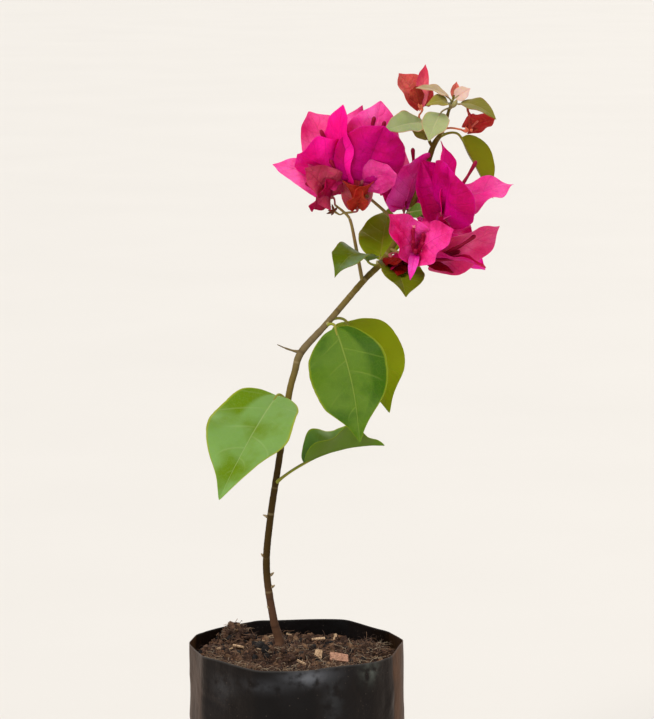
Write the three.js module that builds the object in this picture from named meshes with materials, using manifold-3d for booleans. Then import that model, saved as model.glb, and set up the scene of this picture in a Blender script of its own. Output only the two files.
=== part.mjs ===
// A young bougainvillea in a nursery bag: one leaning stem, large loose leaves and papery bracts.
// Millimetres, +Z up, -Y is the front. The origin is the centre of the bag's flat underside.
import * as THREE from "three";
import { mergeVertices } from "three/addons/utils/BufferGeometryUtils.js";
import Module from "manifold-3d";

const wasm = await Module();
wasm.setup();

// Fit
const CLEARANCE = 0.3;
const WELD = 1e-4;

// Bag
const BAG_RADIUS = 63.6;
const BAG_HEIGHT = 160;
const BAG_WALL = 1.0;
const BAG_CORNER = 13;
const BAG_CORNER_STEPS = 4;
const WALL_ROWS = [80, 136];
const FOOT_SHARE = 0.35;
const RIM_LIFT = 3;
const RIM_WAVE = 0.6;

// Azimuth and radius of the creases at the rim, with a flat panel of film from each to the next
const RIM_CREASES = [
  [-150, 65],
  [-111, 64.8],
  [-82, 64],
  [-40, 62],
  [-26, 64],
  [6, 64.8],
  [31, 66],
  [63, 66],
  [112, 66],
  [159, 66],
  [176, 64.5],
];
const PANEL_STEPS = 3;

// Soil, heaped round the foot of the stem
const SOIL_LEVEL = 152;
const SEAT_LEVEL = 158.7;
const SEAT_RADIUS = 5.5;
const HEAP_RADIUS = 27;
const SOIL_RINGS = [42, HEAP_RADIUS, 17, 10];
const SOIL_EDGE = SOIL_LEVEL - 1;
const SOIL_LUMP = 0.9;
const MOUNDS = [
  { at: [-40, 36], height: 6, spread: 15 },
  { at: [-50, 4], height: 4.5, spread: 14 },
  { at: [8, 46], height: 2, spread: 20 },
  { at: [46, 14], height: 3.5, spread: 13 },
];

// Main stem: x, y, z and radius where it bends, from the flat cut at the soil up to the tip leaves
const STEM_FOOT = [-11, 8, SEAT_LEVEL + CLEARANCE, 3.9];
const STEM = [
  STEM_FOOT,
  [-11, 8, 163, 2.9],
  [-14.3, 6, 176, 2.4],
  [-18.4, 1.5, 208, 2.2],
  [-16, -3, 239, 2.1],
  [-10.5, -7, 276, 2.0],
  [-4.7, -8, 315, 2.0],
  [-1, -8, 330, 2.0],
  [3, -8, 342, 2.2],
  [18.3, -6, 359, 1.9],
  [40, -2, 384, 1.85],
  [50.6, 0, 394.6, 1.9],
  [60.7, 2, 410, 1.75],
  [73.2, 3, 439, 1.65],
  [81.4, 1.5, 464, 1.7],
  [86.7, 1, 473, 1.2],
  [91, 0.2, 487, 0.95],
];
const STEM_SIDES = 8;
const THORN = [[3, -8, 342, 1.5], [-1, -8.2, 342.6, 0.8], [-11.5, -9, 346.7, 0.25]];
const SHORT_FORK = [[81.4, 1.5, 463.5, 1.1], [79, 0, 468, 0.95], [78.3, -1, 473.5, 0.75]];
const LOW_TWIG = [
  [39.5, -2.1, 383.5, 1.2],
  [37, -4, 397, 1.1],
  [33.4, -7, 416, 0.95],
  [31.8, -8, 422, 0.9],
];
const HIGH_TWIG = [
  [63, 2.2, 414.5, 1.1],
  [53.4, -2, 425, 1.0],
  [46, -6, 432, 0.9],
  [40.5, -8.3, 437, 0.85],
];
const TWIG_SIDES = 6;

// Blades
const BLADE_THICKNESS = 0.014;
const LEAF_GRID = { rows: 7, columns: 2 };
const SMALL_LEAF_GRID = { rows: 5, columns: 1 };
const SMALL_LEAF = 35;
const BRACT_GRID = { rows: 5, columns: 1 };
const PETIOLE_RADIUS = 0.85;
const LEAF_LOBE = 0.05;

// Leaves: where the blade begins, how its midrib sets off, where its upper face looks (azimuth, rise),
// its length and half width, and the point of the stem that its stalk grows from
const LEAVES = {
  leaf_low_left: {
    at: [-11.5, -13, 316.4], starts: [-117, -24], faces: [-93, 64], length: 85, half: 27,
    droop: 30, fold: 18, sway: -0.01, from: [-5.3, -8, 311],
  },
  leaf_mid_front: {
    at: [23.3, -11, 357.2], starts: [-68, -60], faces: [-110, 23], length: 73, half: 24.3,
    droop: 4, fold: 2, sway: -0.04, from: [17, -6.1, 357.6],
  },
  leaf_mid_back: {
    at: [30, 2, 359], starts: [50, -40], faces: [80, 46], length: 68, half: 23,
    droop: 49, fold: 13, sway: -0.02, from: [20, -5.7, 361],
  },
  leaf_low_right: {
    at: [4.6, -14, 275.5], starts: [33, 20], faces: [-162, 69], length: 58, half: 17,
    droop: 29, fold: 50, from: [-12.6, -5.5, 262],
  },
  leaf_twig: {
    at: [42.4, -5, 396.7], starts: [-111, 43], faces: [47, 45], length: 42, half: 13,
    droop: 110, fold: 10, from: [49, -0.3, 393],
  },
  leaf_back: {
    at: [50, 6, 396], starts: [80, 49], faces: [-100, 41], length: 44, half: 15,
    droop: 20, fold: 8, from: [50.6, 0, 394.6],
  },
  leaf_under: {
    at: [57.7, -2, 395.6], starts: [-79, -20], faces: [-50, 67], length: 42, half: 15,
    droop: 6, fold: 18, sway: -0.02, from: [50, -0.1, 394],
  },
  leaf_small: {
    at: [67.1, -3, 426.1], starts: [-39, 18], faces: [-137, 23], length: 16, half: 5,
    droop: 20, fold: 10, from: [67.4, 2.5, 425.5],
  },
  leaf_high_right: {
    at: [98, 1, 469.6], starts: [14, -61], faces: [71, 17], length: 42, half: 14.3,
    droop: 2, fold: 54, from: [85, 1.2, 470],
  },
  leaf_high_left: {
    at: [75.4, -3, 479], starts: [-152, 10], faces: [-76, 50], length: 27, half: 8.2,
    droop: 22, fold: 16, from: [79, 0, 468], young: true,
  },
  leaf_high_front: {
    at: [86.2, -4, 484.8], starts: [-140, -34], faces: [-95, 42], length: 21, half: 8,
    droop: 30, fold: 10, from: [89.8, 0.4, 483], young: true,
  },
};

// Leaves of the growing tip, fused on the last of the stem
const TIP_STEM = [[90.9, 0.2, 486.6, 0.9], [92.5, 0, 491, 0.8], [93.6, 0, 495, 0.5]];
const TIP_LEAVES = [
  { at: [90.6, -1, 493.2], starts: [-145, 36], faces: [-11, 40], length: 23, half: 5, droop: 45, fold: 14 },
  { at: [90, -2, 490.3], starts: [-113, 22], faces: [-5, 37], length: 19, half: 4.6, droop: 70, fold: 14 },
  { at: [97.2, 0, 489.6], starts: [-52, 10], faces: [-166, 67], length: 30, half: 6.5, droop: 55, fold: 14 },
  { at: [93, 0, 493.1], starts: [50, 66], faces: [-70, 20], length: 11, half: 3, droop: 20, fold: 20 },
  { at: [94.2, 0, 493.1], starts: [-10, 36], faces: [-95, 20], length: 11, half: 4.4, droop: 30, fold: 10 },
];
const TIP_STALK_FROM = [92.3, 0, 490.5];
const TIP_STALK_RADIUS = 0.5;

// Flower heads: three bracts round an axis. A bract is turn about the axis (0 at the front), lean from it,
// length, half width and, where it is twisted on its midrib, that twist
const BRACT = { droop: 34, fold: 14, cup: 0.05, curl: 0.15, lobe: 0.35 };
const PEDICEL_RADIUS = 0.6;
const KNOB_RADIUS = 1.3;
const KNOB_REACH = 2.2;
const TUBE_SHARE = 0.42;
const TUBE_RADIUS = 1.7;
const STALK_SIDES = 4;

const LEFT_TWIGS = [
  [[40, -8.5, 437.4, 0.8], [36, -9.5, 440.5, 0.8], [33, -10, 441, 0.7]],
  [[31.7, -8.1, 422.4, 0.85], [29, -8.6, 425.5, 0.8], [23, -9.6, 430.5, 0.65]],
  [[29, -8.6, 425.5, 0.75], [33.5, -8.3, 426, 0.65]],
];
const LEFT_HEADS = [
  {
    at: [28.4, -11, 444.8], axis: [-135, 61], from: [33, -10, 441],
    bracts: [[-170, 37, 48, 17], [-68, 33, 37, 19, 62], [116, 23, 47, 13, 30]],
  },
  {
    at: [39, -15, 445.2], axis: [22, 74], from: [36, -9.5, 440.5],
    bracts: [[-175, 9, 51, 19], [24, 40, 41, 22.5], [134, 46, 46, 20]],
  },
  {
    at: [20.7, -10, 435.2], axis: [-169, 29], from: [23, -9.6, 430.5],
    bracts: [[-176, 30, 42, 10.5], [42, 27, 28, 12, 160], [-16, 64, 22, 12]],
  },
  {
    at: [36.1, -8, 428.6], axis: [-90, 81], from: [33.5, -8.3, 426],
    bracts: [[-58, 30, 21, 9], [56, 34, 22, 9.5], [178, 34, 27, 10]],
  },
  {
    at: [49.9, 6, 446.2], axis: [63, 19], from: [36, -9.5, 440.5],
    bracts: [[-33, 5, 34, 15], [150, 54, 30, 13], [-133, 46, 34, 15]],
  },
  {
    at: [29, 2, 445.3], axis: [103, 21], from: [33, -10, 441],
    bracts: [[-83, 17, 36, 16], [52, 59, 46, 13], [177, 53, 34, 14]],
  },
];
const MIDDLE_TWIGS = [[[67, 2.5, 424, 0.8], [64.5, 2, 422.8, 0.7]]];
const MIDDLE_HEADS = [
  {
    at: [64.2, 2, 426.8], axis: [90, 79], from: [64.5, 2, 422.8],
    bracts: [[54, 30, 38, 17], [-140, 61, 30, 14], [-175, 40, 36, 14]],
  },
];
const RIGHT_TWIGS = [
  [[67, 2.6, 425, 0.9], [73, -3, 424, 0.85], [79, -9, 422, 0.75]],
  [[73, -3, 424, 0.8], [76.5, 7, 425, 0.7]],
  [[56, 1.2, 403, 0.95], [61, -5, 401.5, 0.9], [69, -9, 399.5, 0.8], [75, -9, 397, 0.7]],
  [[75, -9, 397, 0.75], [83, 2, 401, 0.7]],
];
const RIGHT_HEADS = [
  {
    at: [86.4, -13, 426], axis: [-9, 51], from: [79, -9, 422],
    bracts: [[-127, 42, 44, 12], [-38, 45, 39, 21.5], [124, 37, 48, 15]],
  },
  {
    at: [78.4, -8, 398], axis: [-13, 9], from: [75, -9, 397],
    bracts: [[-152, 30, 49, 13.5], [39, 21, 39, 11, 40], [150, 45, 28, 8]],
  },
  {
    at: [70.4, -18, 402.7], axis: [-86, 34], from: [69, -9, 399.5],
    bracts: [[109, 46, 31, 13.5], [-123, 44, 32, 13], [-5, 67, 26, 3.2]],
  },
  {
    at: [56.4, -8, 399.2], axis: [-63, -46], from: [61, -5, 401.5],
    bracts: [[-26, 18, 18, 8], [-44, 52, 19, 8], [24, 32, 15, 7]],
  },
  {
    at: [80.1, 14, 428], axis: [84, 18], from: [76.5, 7, 425],
    bracts: [[-102, 19, 36, 16], [80, 18, 36, 16], [158, 52, 36, 16]],
  },
  {
    at: [89.1, 10, 407.3], axis: [72, -6], from: [83, 2, 401],
    bracts: [[122, 40, 34, 15], [23, 53, 34, 8], [-128, 30, 36, 15]],
  },
];
const HIGH_LEFT_TWIGS = [[[78.3, -1, 473.5, 0.6], [74, -1.8, 478.5, 0.6], [72.8, -2, 483, 0.6]]];
const HIGH_LEFT_HEADS = [
  {
    at: [74, -2, 487.9], axis: [-164, 68], from: [72.8, -2, 483],
    bracts: [[-154, 30, 25, 11, 12], [135, 38, 27, 4.2, 40], [14, 20, 15, 5]],
  },
];
const HIGH_RIGHT_TWIGS = [[[87, 1, 474.5, 0.6], [92, -2, 475.5, 0.6], [98, -1.5, 474.5, 0.6]]];
const HIGH_RIGHT_HEADS = [
  {
    at: [102.1, 1, 474.5], axis: [-29, 50], from: [98, -1.5, 474.5],
    bracts: [[95, 18, 18, 8], [-85, 39, 14, 4], [180, 61, 18, 7]],
  },
];

const radians = THREE.MathUtils.degToRad;

function vector([x, y, z]) {
  return new THREE.Vector3(x, y, z);
}

// Unit vector of an azimuth from +X towards +Y and a rise above level, in degrees
function heading([azimuth, rise]) {
  const flat = Math.cos(radians(rise));
  const [x, y] = [Math.cos(radians(azimuth)), Math.sin(radians(azimuth))];
  return new THREE.Vector3(flat * x, flat * y, Math.sin(radians(rise)));
}

// One direction turned towards another that is square to it
function turned(direction, towards, angle) {
  return direction.clone().multiplyScalar(Math.cos(angle)).addScaledVector(towards, Math.sin(angle));
}

// The part of a direction that is square to another one
function squareTo(direction, other) {
  return direction.clone().addScaledVector(other, -direction.dot(other)).normalize();
}

function smooth(value) {
  return THREE.MathUtils.smoothstep(value, 0, 1);
}

// A closed solid from points and triangles, with doubled points welded and flat triangles dropped
function closedSolid(points, triangles) {
  const geometry = new THREE.BufferGeometry().setFromPoints(points);
  geometry.setIndex(triangles.flat());
  const welded = mergeVertices(geometry, WELD);
  const kept = [];
  for (let i = 0; i < welded.index.count; i += 3) {
    const [a, b, c] = [0, 1, 2].map((corner) => welded.index.getX(i + corner));
    if (a !== b && b !== c && c !== a) kept.push(a, b, c);
  }
  return new wasm.Manifold(
    new wasm.Mesh({
      numProp: 3,
      vertProperties: welded.attributes.position.array,
      triVerts: Uint32Array.from(kept),
    }),
  );
}

function fused(solids) {
  return solids.reduce((whole, solid) => whole.add(solid));
}

// The largest loose piece of a solid: cutting clear can leave scraps behind
function mainPiece(solid) {
  const pieces = solid.decompose();
  return pieces.reduce((best, piece) => (piece.volume() > best.volume() ? piece : best));
}

// Triangles between two neighbouring rings of points, ring b after ring a
function bandTriangles(a, b, sides) {
  const triangles = [];
  for (let side = 0; side < sides; side++) {
    const next = (side + 1) % sides;
    triangles.push([a + side, a + next, b + next], [a + side, b + next, b + side]);
  }
  return triangles;
}

function sidewaysOf(along) {
  return Math.abs(along.x) < 0.9 ? new THREE.Vector3(1, 0, 0) : new THREE.Vector3(0, 1, 0);
}

// A tapering limb through knots of x, y, z and radius, with flat ends. grow swells it all round
function limb(knots, grow = 0, sides = TWIG_SIDES) {
  const centres = knots.map(vector);
  const last = centres.length - 1;
  const points = [];
  const triangles = [];
  let across = null;
  for (let ring = 0; ring <= last; ring++) {
    const back = centres[Math.max(ring - 1, 0)];
    const ahead = centres[Math.min(ring + 1, last)];
    const along = ahead.clone().sub(back).normalize();
    across = squareTo(across ?? sidewaysOf(along), along);
    const other = along.clone().cross(across);
    const end = ring === 0 ? -grow : ring === last ? grow : 0;
    const middle = centres[ring].clone().addScaledVector(along, end);
    const radius = knots[ring][3] + grow;
    for (let side = 0; side < sides; side++) {
      const outward = turned(across, other, (2 * Math.PI * side) / sides);
      points.push(middle.clone().addScaledVector(outward, radius));
    }
    if (ring > 0) triangles.push(...bandTriangles((ring - 1) * sides, ring * sides, sides));
  }
  for (let side = 1; side < sides - 1; side++) {
    triangles.push([0, side + 1, side]);
    triangles.push([last * sides, last * sides + side, last * sides + side + 1]);
  }
  return closedSolid(points, triangles);
}

// Half widths along a blade, 0 at its base and 1 at its tip
const OUTLINES = {
  leaf: (v) => Math.sin(Math.PI * v ** 0.74) ** 0.85 * (1 - 0.5 * smooth((v - 0.62) / 0.38)),
  bract: (v) => Math.sin(Math.PI * v ** 0.72) ** 0.68 * (1 - 0.45 * smooth((v - 0.8) / 0.2)),
};

// A leaf or bract: the midrib bends away from the upper face by droop, the halves rise by fold
function blade(shape, grow = 0) {
  const { base, start, upper, length, half, droop, fold, lobe, outline, grid } = shape;
  const { cup = 0, curl = 0, sway = 0 } = shape;
  const bend = radians(droop);
  const side = start.clone().cross(upper);
  const reach = length + 2 * grow;
  const wide = half + grow;
  const thick = length * BLADE_THICKNESS + 2 * grow;
  const root = base.clone().addScaledVector(start, -grow);
  const faces = [[], []];
  for (let row = 0; row <= grid.rows; row++) {
    const v = row / grid.rows;
    const swing = bend * v;
    const along = turned(start, upper, -swing);
    const out = turned(upper, start, swing);
    const spine = root
      .clone()
      .addScaledVector(start, (reach * Math.sin(swing)) / bend)
      .addScaledVector(upper, (-reach * (1 - Math.cos(swing))) / bend)
      .addScaledVector(side, sway * reach * Math.sin(Math.PI * v));
    const width = row === 0 || row === grid.rows ? 0 : wide * OUTLINES[outline](v);
    for (let column = -grid.columns; column <= grid.columns; column++) {
      const u = column / grid.columns;
      const raised = width * (Math.abs(u) * Math.sin(radians(fold)) + cup * u ** 2 - curl * u ** 4);
      const back = row === 0 ? 0 : lobe * wide * u ** 2 * (1 - v) ** 3;
      const point = spine
        .clone()
        .addScaledVector(side, width * u * Math.cos(radians(fold)))
        .addScaledVector(out, raised)
        .addScaledVector(along, -back);
      faces[0].push(point.clone().addScaledVector(out, thick / 2));
      faces[1].push(point.clone().addScaledVector(out, -thick / 2));
    }
  }
  return closedSolid([...faces[0], ...faces[1]], bladeTriangles(grid));
}

function bladeTriangles(grid) {
  const columns = 2 * grid.columns + 1;
  const under = columns * (grid.rows + 1);
  const triangles = [];
  for (let row = 0; row < grid.rows; row++) {
    for (let column = 0; column < columns - 1; column++) {
      const a = row * columns + column;
      const b = a + 1;
      const c = a + columns;
      const d = c + 1;
      triangles.push([a, b, d], [a, d, c]);
      triangles.push([under + a, under + d, under + b], [under + a, under + c, under + d]);
    }
    const left = row * columns;
    const right = left + columns - 1;
    const [nextLeft, nextRight] = [left + columns, right + columns];
    triangles.push([left, nextLeft, under + left], [nextLeft, under + nextLeft, under + left]);
    triangles.push([right, under + right, nextRight], [nextRight, under + right, under + nextRight]);
  }
  return triangles;
}

function leafBlade(shape, grow) {
  const start = heading(shape.starts);
  const upper = squareTo(heading(shape.faces), start);
  const grid = shape.length < SMALL_LEAF ? SMALL_LEAF_GRID : LEAF_GRID;
  const base = vector(shape.at);
  return blade({ ...shape, base, start, upper, grid, lobe: LEAF_LOBE, outline: "leaf" }, grow);
}

// A stalk that leaves its limb and turns into the midrib
function stalk(from, at, start, radius, grow) {
  const foot = vector(from);
  const base = vector(at);
  const away = base.distanceTo(foot);
  const bend = base.clone().addScaledVector(start, -away / 2);
  const curve = new THREE.QuadraticBezierCurve3(foot, bend, base);
  const knots = curve.getPoints(3).map((point) => [...point.toArray(), radius]);
  knots.push([...base.clone().addScaledVector(start, 2.5 * radius).toArray(), radius * 0.8]);
  return limb(knots, grow, STALK_SIDES);
}

function leaf(shape, grow = 0) {
  const radius = Math.min(PETIOLE_RADIUS, 0.3 + shape.length / 100);
  return leafBlade(shape, grow).add(stalk(shape.from, shape.at, heading(shape.starts), radius, grow));
}

function bract(base, axis, [turn, lean, length, half, twist = 0], grow) {
  const front = squareTo(new THREE.Vector3(0, -1, 0), axis);
  const flank = axis.clone().cross(front);
  const chord = turned(axis, turned(front, flank, radians(turn)), radians(lean));
  const inner = squareTo(axis, chord).applyAxisAngle(chord, radians(twist));
  const start = turned(chord, inner, radians(BRACT.droop) / 2);
  const upper = turned(inner, chord, -radians(BRACT.droop) / 2);
  return blade({ ...BRACT, base, start, upper, length, half, outline: "bract", grid: BRACT_GRID }, grow);
}

// Three bracts on the end of a thin stalk, with the small tubular flowers standing in their middle
function head({ at, axis, from, bracts }, grow) {
  const base = vector(at);
  const way = heading(axis);
  const below = base.clone().addScaledVector(way, -KNOB_REACH);
  const tip = base.clone().addScaledVector(way, TUBE_SHARE * bracts[0][2]);
  const knots = [
    [...from, PEDICEL_RADIUS],
    [...below.toArray(), PEDICEL_RADIUS],
    [...at, KNOB_RADIUS],
    [...tip.toArray(), TUBE_RADIUS],
  ];
  return fused([limb(knots, grow, STALK_SIDES), ...bracts.map((row) => bract(base, way, row, grow))]);
}

function blossom(twigs, heads, grow = 0) {
  const stalks = twigs.map((knots) => limb(knots, grow, STALK_SIDES));
  return fused([...stalks, ...heads.map((row) => head(row, grow))]);
}

function growingTip(grow = 0) {
  const parts = [limb(TIP_STEM, grow)];
  for (const shape of TIP_LEAVES) {
    parts.push(leafBlade(shape, grow));
    parts.push(stalk(TIP_STALK_FROM, shape.at, heading(shape.starts), TIP_STALK_RADIUS, grow));
  }
  return fused(parts);
}

function mainStem(grow = 0) {
  return fused([limb(STEM, grow, STEM_SIDES), limb(THORN, grow, STALK_SIDES), limb(SHORT_FORK, grow)]);
}

// Angles round the bag, which meet every crease
const TURNS = RIM_CREASES.flatMap(([azimuth], crease) => {
  const next = crease + 1 < RIM_CREASES.length ? RIM_CREASES[crease + 1][0] : RIM_CREASES[0][0] + 360;
  const steps = Array.from({ length: PANEL_STEPS }, (_, step) => step / PANEL_STEPS);
  return steps.map((share) => radians(azimuth + share * (next - azimuth)));
});
const BAG_SIDES = TURNS.length;

// Radius of the flat panels at an angle that is one of the TURNS
function panelRadius(turn) {
  const first = RIM_CREASES.findLastIndex(([azimuth]) => radians(azimuth) <= turn + WELD);
  const [a, b] = [RIM_CREASES[first], RIM_CREASES[(first + 1) % RIM_CREASES.length]];
  const width = radians((b[0] - a[0] + 360) % 360);
  const past = turn - radians(a[0]);
  return (a[1] * b[1] * Math.sin(width)) / (a[1] * Math.sin(past) + b[1] * Math.sin(width - past));
}

// How far the panels stand out or in from the bag's round, less towards its foot
function panelOffset(turn, z) {
  const share = FOOT_SHARE + ((1 - FOOT_SHARE) * z) / BAG_HEIGHT;
  return share * (panelRadius(turn) - BAG_RADIUS);
}

// The rim is higher at the back and waves a little
function rimRise(turn) {
  return (RIM_LIFT * (1 + Math.sin(turn))) / 2 + RIM_WAVE * Math.cos(5 * turn);
}

// A body turned about Z from a profile of radius, height and share of the rim's rise, axis to axis
function turnedBody(profile) {
  const points = [];
  const triangles = [];
  profile.forEach(([radius, z, rise], ring) => {
    for (const turn of TURNS) {
      const out = radius === 0 ? 0 : radius + panelOffset(turn, z);
      points.push(new THREE.Vector3(out * Math.cos(turn), out * Math.sin(turn), z + rise * rimRise(turn)));
    }
    if (ring > 0) triangles.push(...bandTriangles((ring - 1) * BAG_SIDES, ring * BAG_SIDES, BAG_SIDES));
  });
  return closedSolid(points, triangles);
}

// Radius and height of the rounded lower edge, from the flat underside to the wall
function cornerProfile(radius, lift, corner) {
  return Array.from({ length: BAG_CORNER_STEPS + 1 }, (_, step) => {
    const angle = (Math.PI / 2) * (step / BAG_CORNER_STEPS);
    return [radius - corner + corner * Math.sin(angle), lift + corner * (1 - Math.cos(angle)), 0];
  });
}

function bag() {
  const inner = BAG_RADIUS - BAG_WALL;
  const over = BAG_HEIGHT + 2 * RIM_LIFT;
  const filled = turnedBody([
    [0, 0, 0],
    ...cornerProfile(BAG_RADIUS, 0, BAG_CORNER),
    ...WALL_ROWS.map((z) => [BAG_RADIUS, z, 0]),
    [BAG_RADIUS, BAG_HEIGHT, 1],
    [0, BAG_HEIGHT, 0],
  ]);
  const space = turnedBody([
    [0, BAG_WALL, 0],
    ...cornerProfile(inner, BAG_WALL, BAG_CORNER - BAG_WALL),
    ...WALL_ROWS.map((z) => [inner, z, 0]),
    [inner, BAG_HEIGHT, 1],
    [inner, over, 0],
    [0, over, 0],
  ]);
  return filled.subtract(space);
}

// Soil fills the bag to its level and heaps up to a small flat seat under the stem
function soil() {
  const gap = BAG_WALL + CLEARANCE;
  const edge = BAG_RADIUS - gap;
  const corner = cornerProfile(edge, gap, BAG_CORNER - gap);
  const rings = [
    { radius: 0, z: gap },
    ...corner.map(([radius, z]) => ({ radius, z, wall: true })),
    ...[...WALL_ROWS, SOIL_EDGE].map((z) => ({ radius: edge, z, wall: true })),
    ...SOIL_RINGS.map((radius) => ({ radius, heap: true })),
    { radius: SEAT_RADIUS, seat: true },
    { radius: 0, seat: true },
  ];
  const points = [];
  const triangles = [];
  rings.forEach(({ radius, z, wall, heap, seat }, ring) => {
    for (const turn of TURNS) {
      const out = wall ? radius + panelOffset(turn, z) : radius;
      const shift = heap || seat ? 1 - radius / edge : 0;
      const x = out * Math.cos(turn) + shift * STEM_FOOT[0];
      const y = out * Math.sin(turn) + shift * STEM_FOOT[1];
      const height = seat ? SEAT_LEVEL : heap ? heapHeight(x, y, radius, turn) : z;
      points.push(new THREE.Vector3(x, y, height));
    }
    if (ring > 0) triangles.push(...bandTriangles((ring - 1) * BAG_SIDES, ring * BAG_SIDES, BAG_SIDES));
  });
  return closedSolid(points, triangles);
}

// The soil falls away from the stem, is a little lumpy and is mounded against the film in places
function heapHeight(x, y, radius, turn) {
  const slope = 1 - smooth((radius - SEAT_RADIUS) / (HEAP_RADIUS - SEAT_RADIUS));
  const lumps = SOIL_LUMP * Math.sin(3 * turn + radius) * Math.sin(0.35 * radius + 2 * turn);
  const calm = smooth((radius - SEAT_RADIUS) / SEAT_RADIUS);
  const mounds = MOUNDS.map(({ at, height, spread }) => {
    const away = Math.hypot(x - at[0], y - at[1]) / spread;
    return height * Math.exp(-away * away);
  });
  const mounded = mounds.reduce((sum, height) => sum + height);
  return SOIL_LEVEL + (SEAT_LEVEL - SOIL_LEVEL) * slope + calm * (lumps + mounded * (1 - slope));
}

const COLOURS = {
  bag: [0x1c1e20, 0.45],
  soil: [0x4b362b, 1],
  stem: [0x6a5428, 0.8],
  twig: [0x7a6a35, 0.75],
  leaf: [0x4f7d1c, 0.5],
  young_leaf: [0x9aa468, 0.6],
  blossom: [0xc4107c, 0.6],
  red_blossom: [0xb4484a, 0.65],
};

const plant = new THREE.Group();

function addMesh(name, solid, finish) {
  const { vertProperties, triVerts } = solid.getMesh();
  const geometry = new THREE.BufferGeometry();
  geometry.setAttribute("position", new THREE.BufferAttribute(Float32Array.from(vertProperties), 3));
  geometry.setIndex(new THREE.BufferAttribute(Uint32Array.from(triVerts), 1));
  const [color, roughness] = COLOURS[finish];
  const material = new THREE.MeshStandardMaterial({ color, roughness, metalness: 0, flatShading: true });
  const mesh = new THREE.Mesh(geometry, material);
  mesh.name = name;
  plant.add(mesh);
}

addMesh("bag", bag(), "bag");
addMesh("soil", soil(), "soil");
addMesh("main_stem", mainStem(), "stem");

// Every later piece is cut clear of those before it, so that none overlap
let taken = mainStem(CLEARANCE);
function addClear(name, make, finish) {
  addMesh(name, mainPiece(make(0).subtract(taken)), finish);
  taken = taken.add(make(CLEARANCE));
}

addClear("low_twig", (grow) => limb(LOW_TWIG, grow), "twig");
addClear("high_twig", (grow) => limb(HIGH_TWIG, grow), "twig");
for (const [name, shape] of Object.entries(LEAVES)) {
  addClear(name, (grow) => leaf(shape, grow), shape.young ? "young_leaf" : "leaf");
}
addClear("tip_leaves", growingTip, "young_leaf");
addClear("blossom_left", (grow) => blossom(LEFT_TWIGS, LEFT_HEADS, grow), "blossom");
addClear("blossom_middle", (grow) => blossom(MIDDLE_TWIGS, MIDDLE_HEADS, grow), "blossom");
addClear("blossom_right", (grow) => blossom(RIGHT_TWIGS, RIGHT_HEADS, grow), "blossom");
addClear("blossom_high_left", (grow) => blossom(HIGH_LEFT_TWIGS, HIGH_LEFT_HEADS, grow), "red_blossom");
addClear("blossom_high_right", (grow) => blossom(HIGH_RIGHT_TWIGS, HIGH_RIGHT_HEADS, grow), "red_blossom");

export default plant;
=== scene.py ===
import math
import random

import bpy
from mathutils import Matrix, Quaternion, Vector, noise


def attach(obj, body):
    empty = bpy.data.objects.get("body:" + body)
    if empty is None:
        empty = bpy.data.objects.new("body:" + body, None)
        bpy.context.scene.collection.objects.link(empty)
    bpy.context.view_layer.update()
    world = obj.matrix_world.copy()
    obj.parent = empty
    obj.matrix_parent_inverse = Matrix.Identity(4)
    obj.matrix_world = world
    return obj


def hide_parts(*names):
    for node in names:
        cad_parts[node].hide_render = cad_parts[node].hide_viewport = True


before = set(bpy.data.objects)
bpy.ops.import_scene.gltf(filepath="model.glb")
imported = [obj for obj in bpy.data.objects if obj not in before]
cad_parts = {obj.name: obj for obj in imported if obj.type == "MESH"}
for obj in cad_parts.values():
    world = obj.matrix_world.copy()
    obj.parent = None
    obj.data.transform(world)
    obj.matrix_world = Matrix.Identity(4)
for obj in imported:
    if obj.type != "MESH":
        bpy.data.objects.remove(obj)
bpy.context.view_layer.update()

MM = 0.001

# Camera: the photograph's view, slightly from above
PICTURE_WIDTH, PICTURE_HEIGHT = 654, 719
FOCAL_PIXELS = 3400
SENSOR = 36.0
CAMERA_PITCH = math.radians(8.5)
CAMERA_DISTANCE = 2.04
CAMERA_AIM = Vector((0.0183, 0.0, 0.3363))

# Bag
BAG_RADIUS = 63.6
BAG_HEIGHT = 160.0
BAG_CORNER = 13.0
FILM = 0.35
FOOT_SHARE = 0.35
RIM_LIFT = 3.0
RIM_WAVE = 0.6
RIM_CLIMB = 40.0
FILLED_BELLY = 1.2
FILM_SWELL = 1.2
# How strongly the side panels take a painted brown reflection and a rougher finish, left and right
PANEL_SHARE_LEFT, PANEL_SHARE_RIGHT = 0.1, 0.5
# Creases that part the flat panels of the wall: angle and radius
RIM_CREASES = [
    (-150, 65), (-111, 64.8), (-82, 64), (-40, 62), (-26, 64),
    (6, 65.6), (31, 66), (63, 66), (112, 66), (159, 66), (176, 66),
]
SIDE_PANELS = [(-184, -150), (-26, 6)]
CREASE_SOFTNESS = 2.5
BAG_COLUMNS = 300
BAG_ROWS = 118

# Soil
SOIL_LEVEL = 152.0
SEAT_LEVEL = 158.7
SEAT_RADIUS = 5.5
HEAP_RADIUS = 27.0
SOIL_EDGE = 61.3
SOIL_UNDERSIDE = 138.0
SKIRT_LEVELS = (150.0, 144.0, SOIL_UNDERSIDE)
SOIL_COLUMNS, SOIL_ROWS = 220, 64
# Mounds of the soil: place, height and spread
MOUNDS = [
    ((-40, 36), 6.0, 15.0), ((-38, 36), 4.0, 8.0), ((-50, 4), 4.5, 14.0), ((8, 46), 2.0, 20.0),
    ((46, 14), 3.5, 13.0), ((-3, -11), 7.0, 9.5),
]
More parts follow.
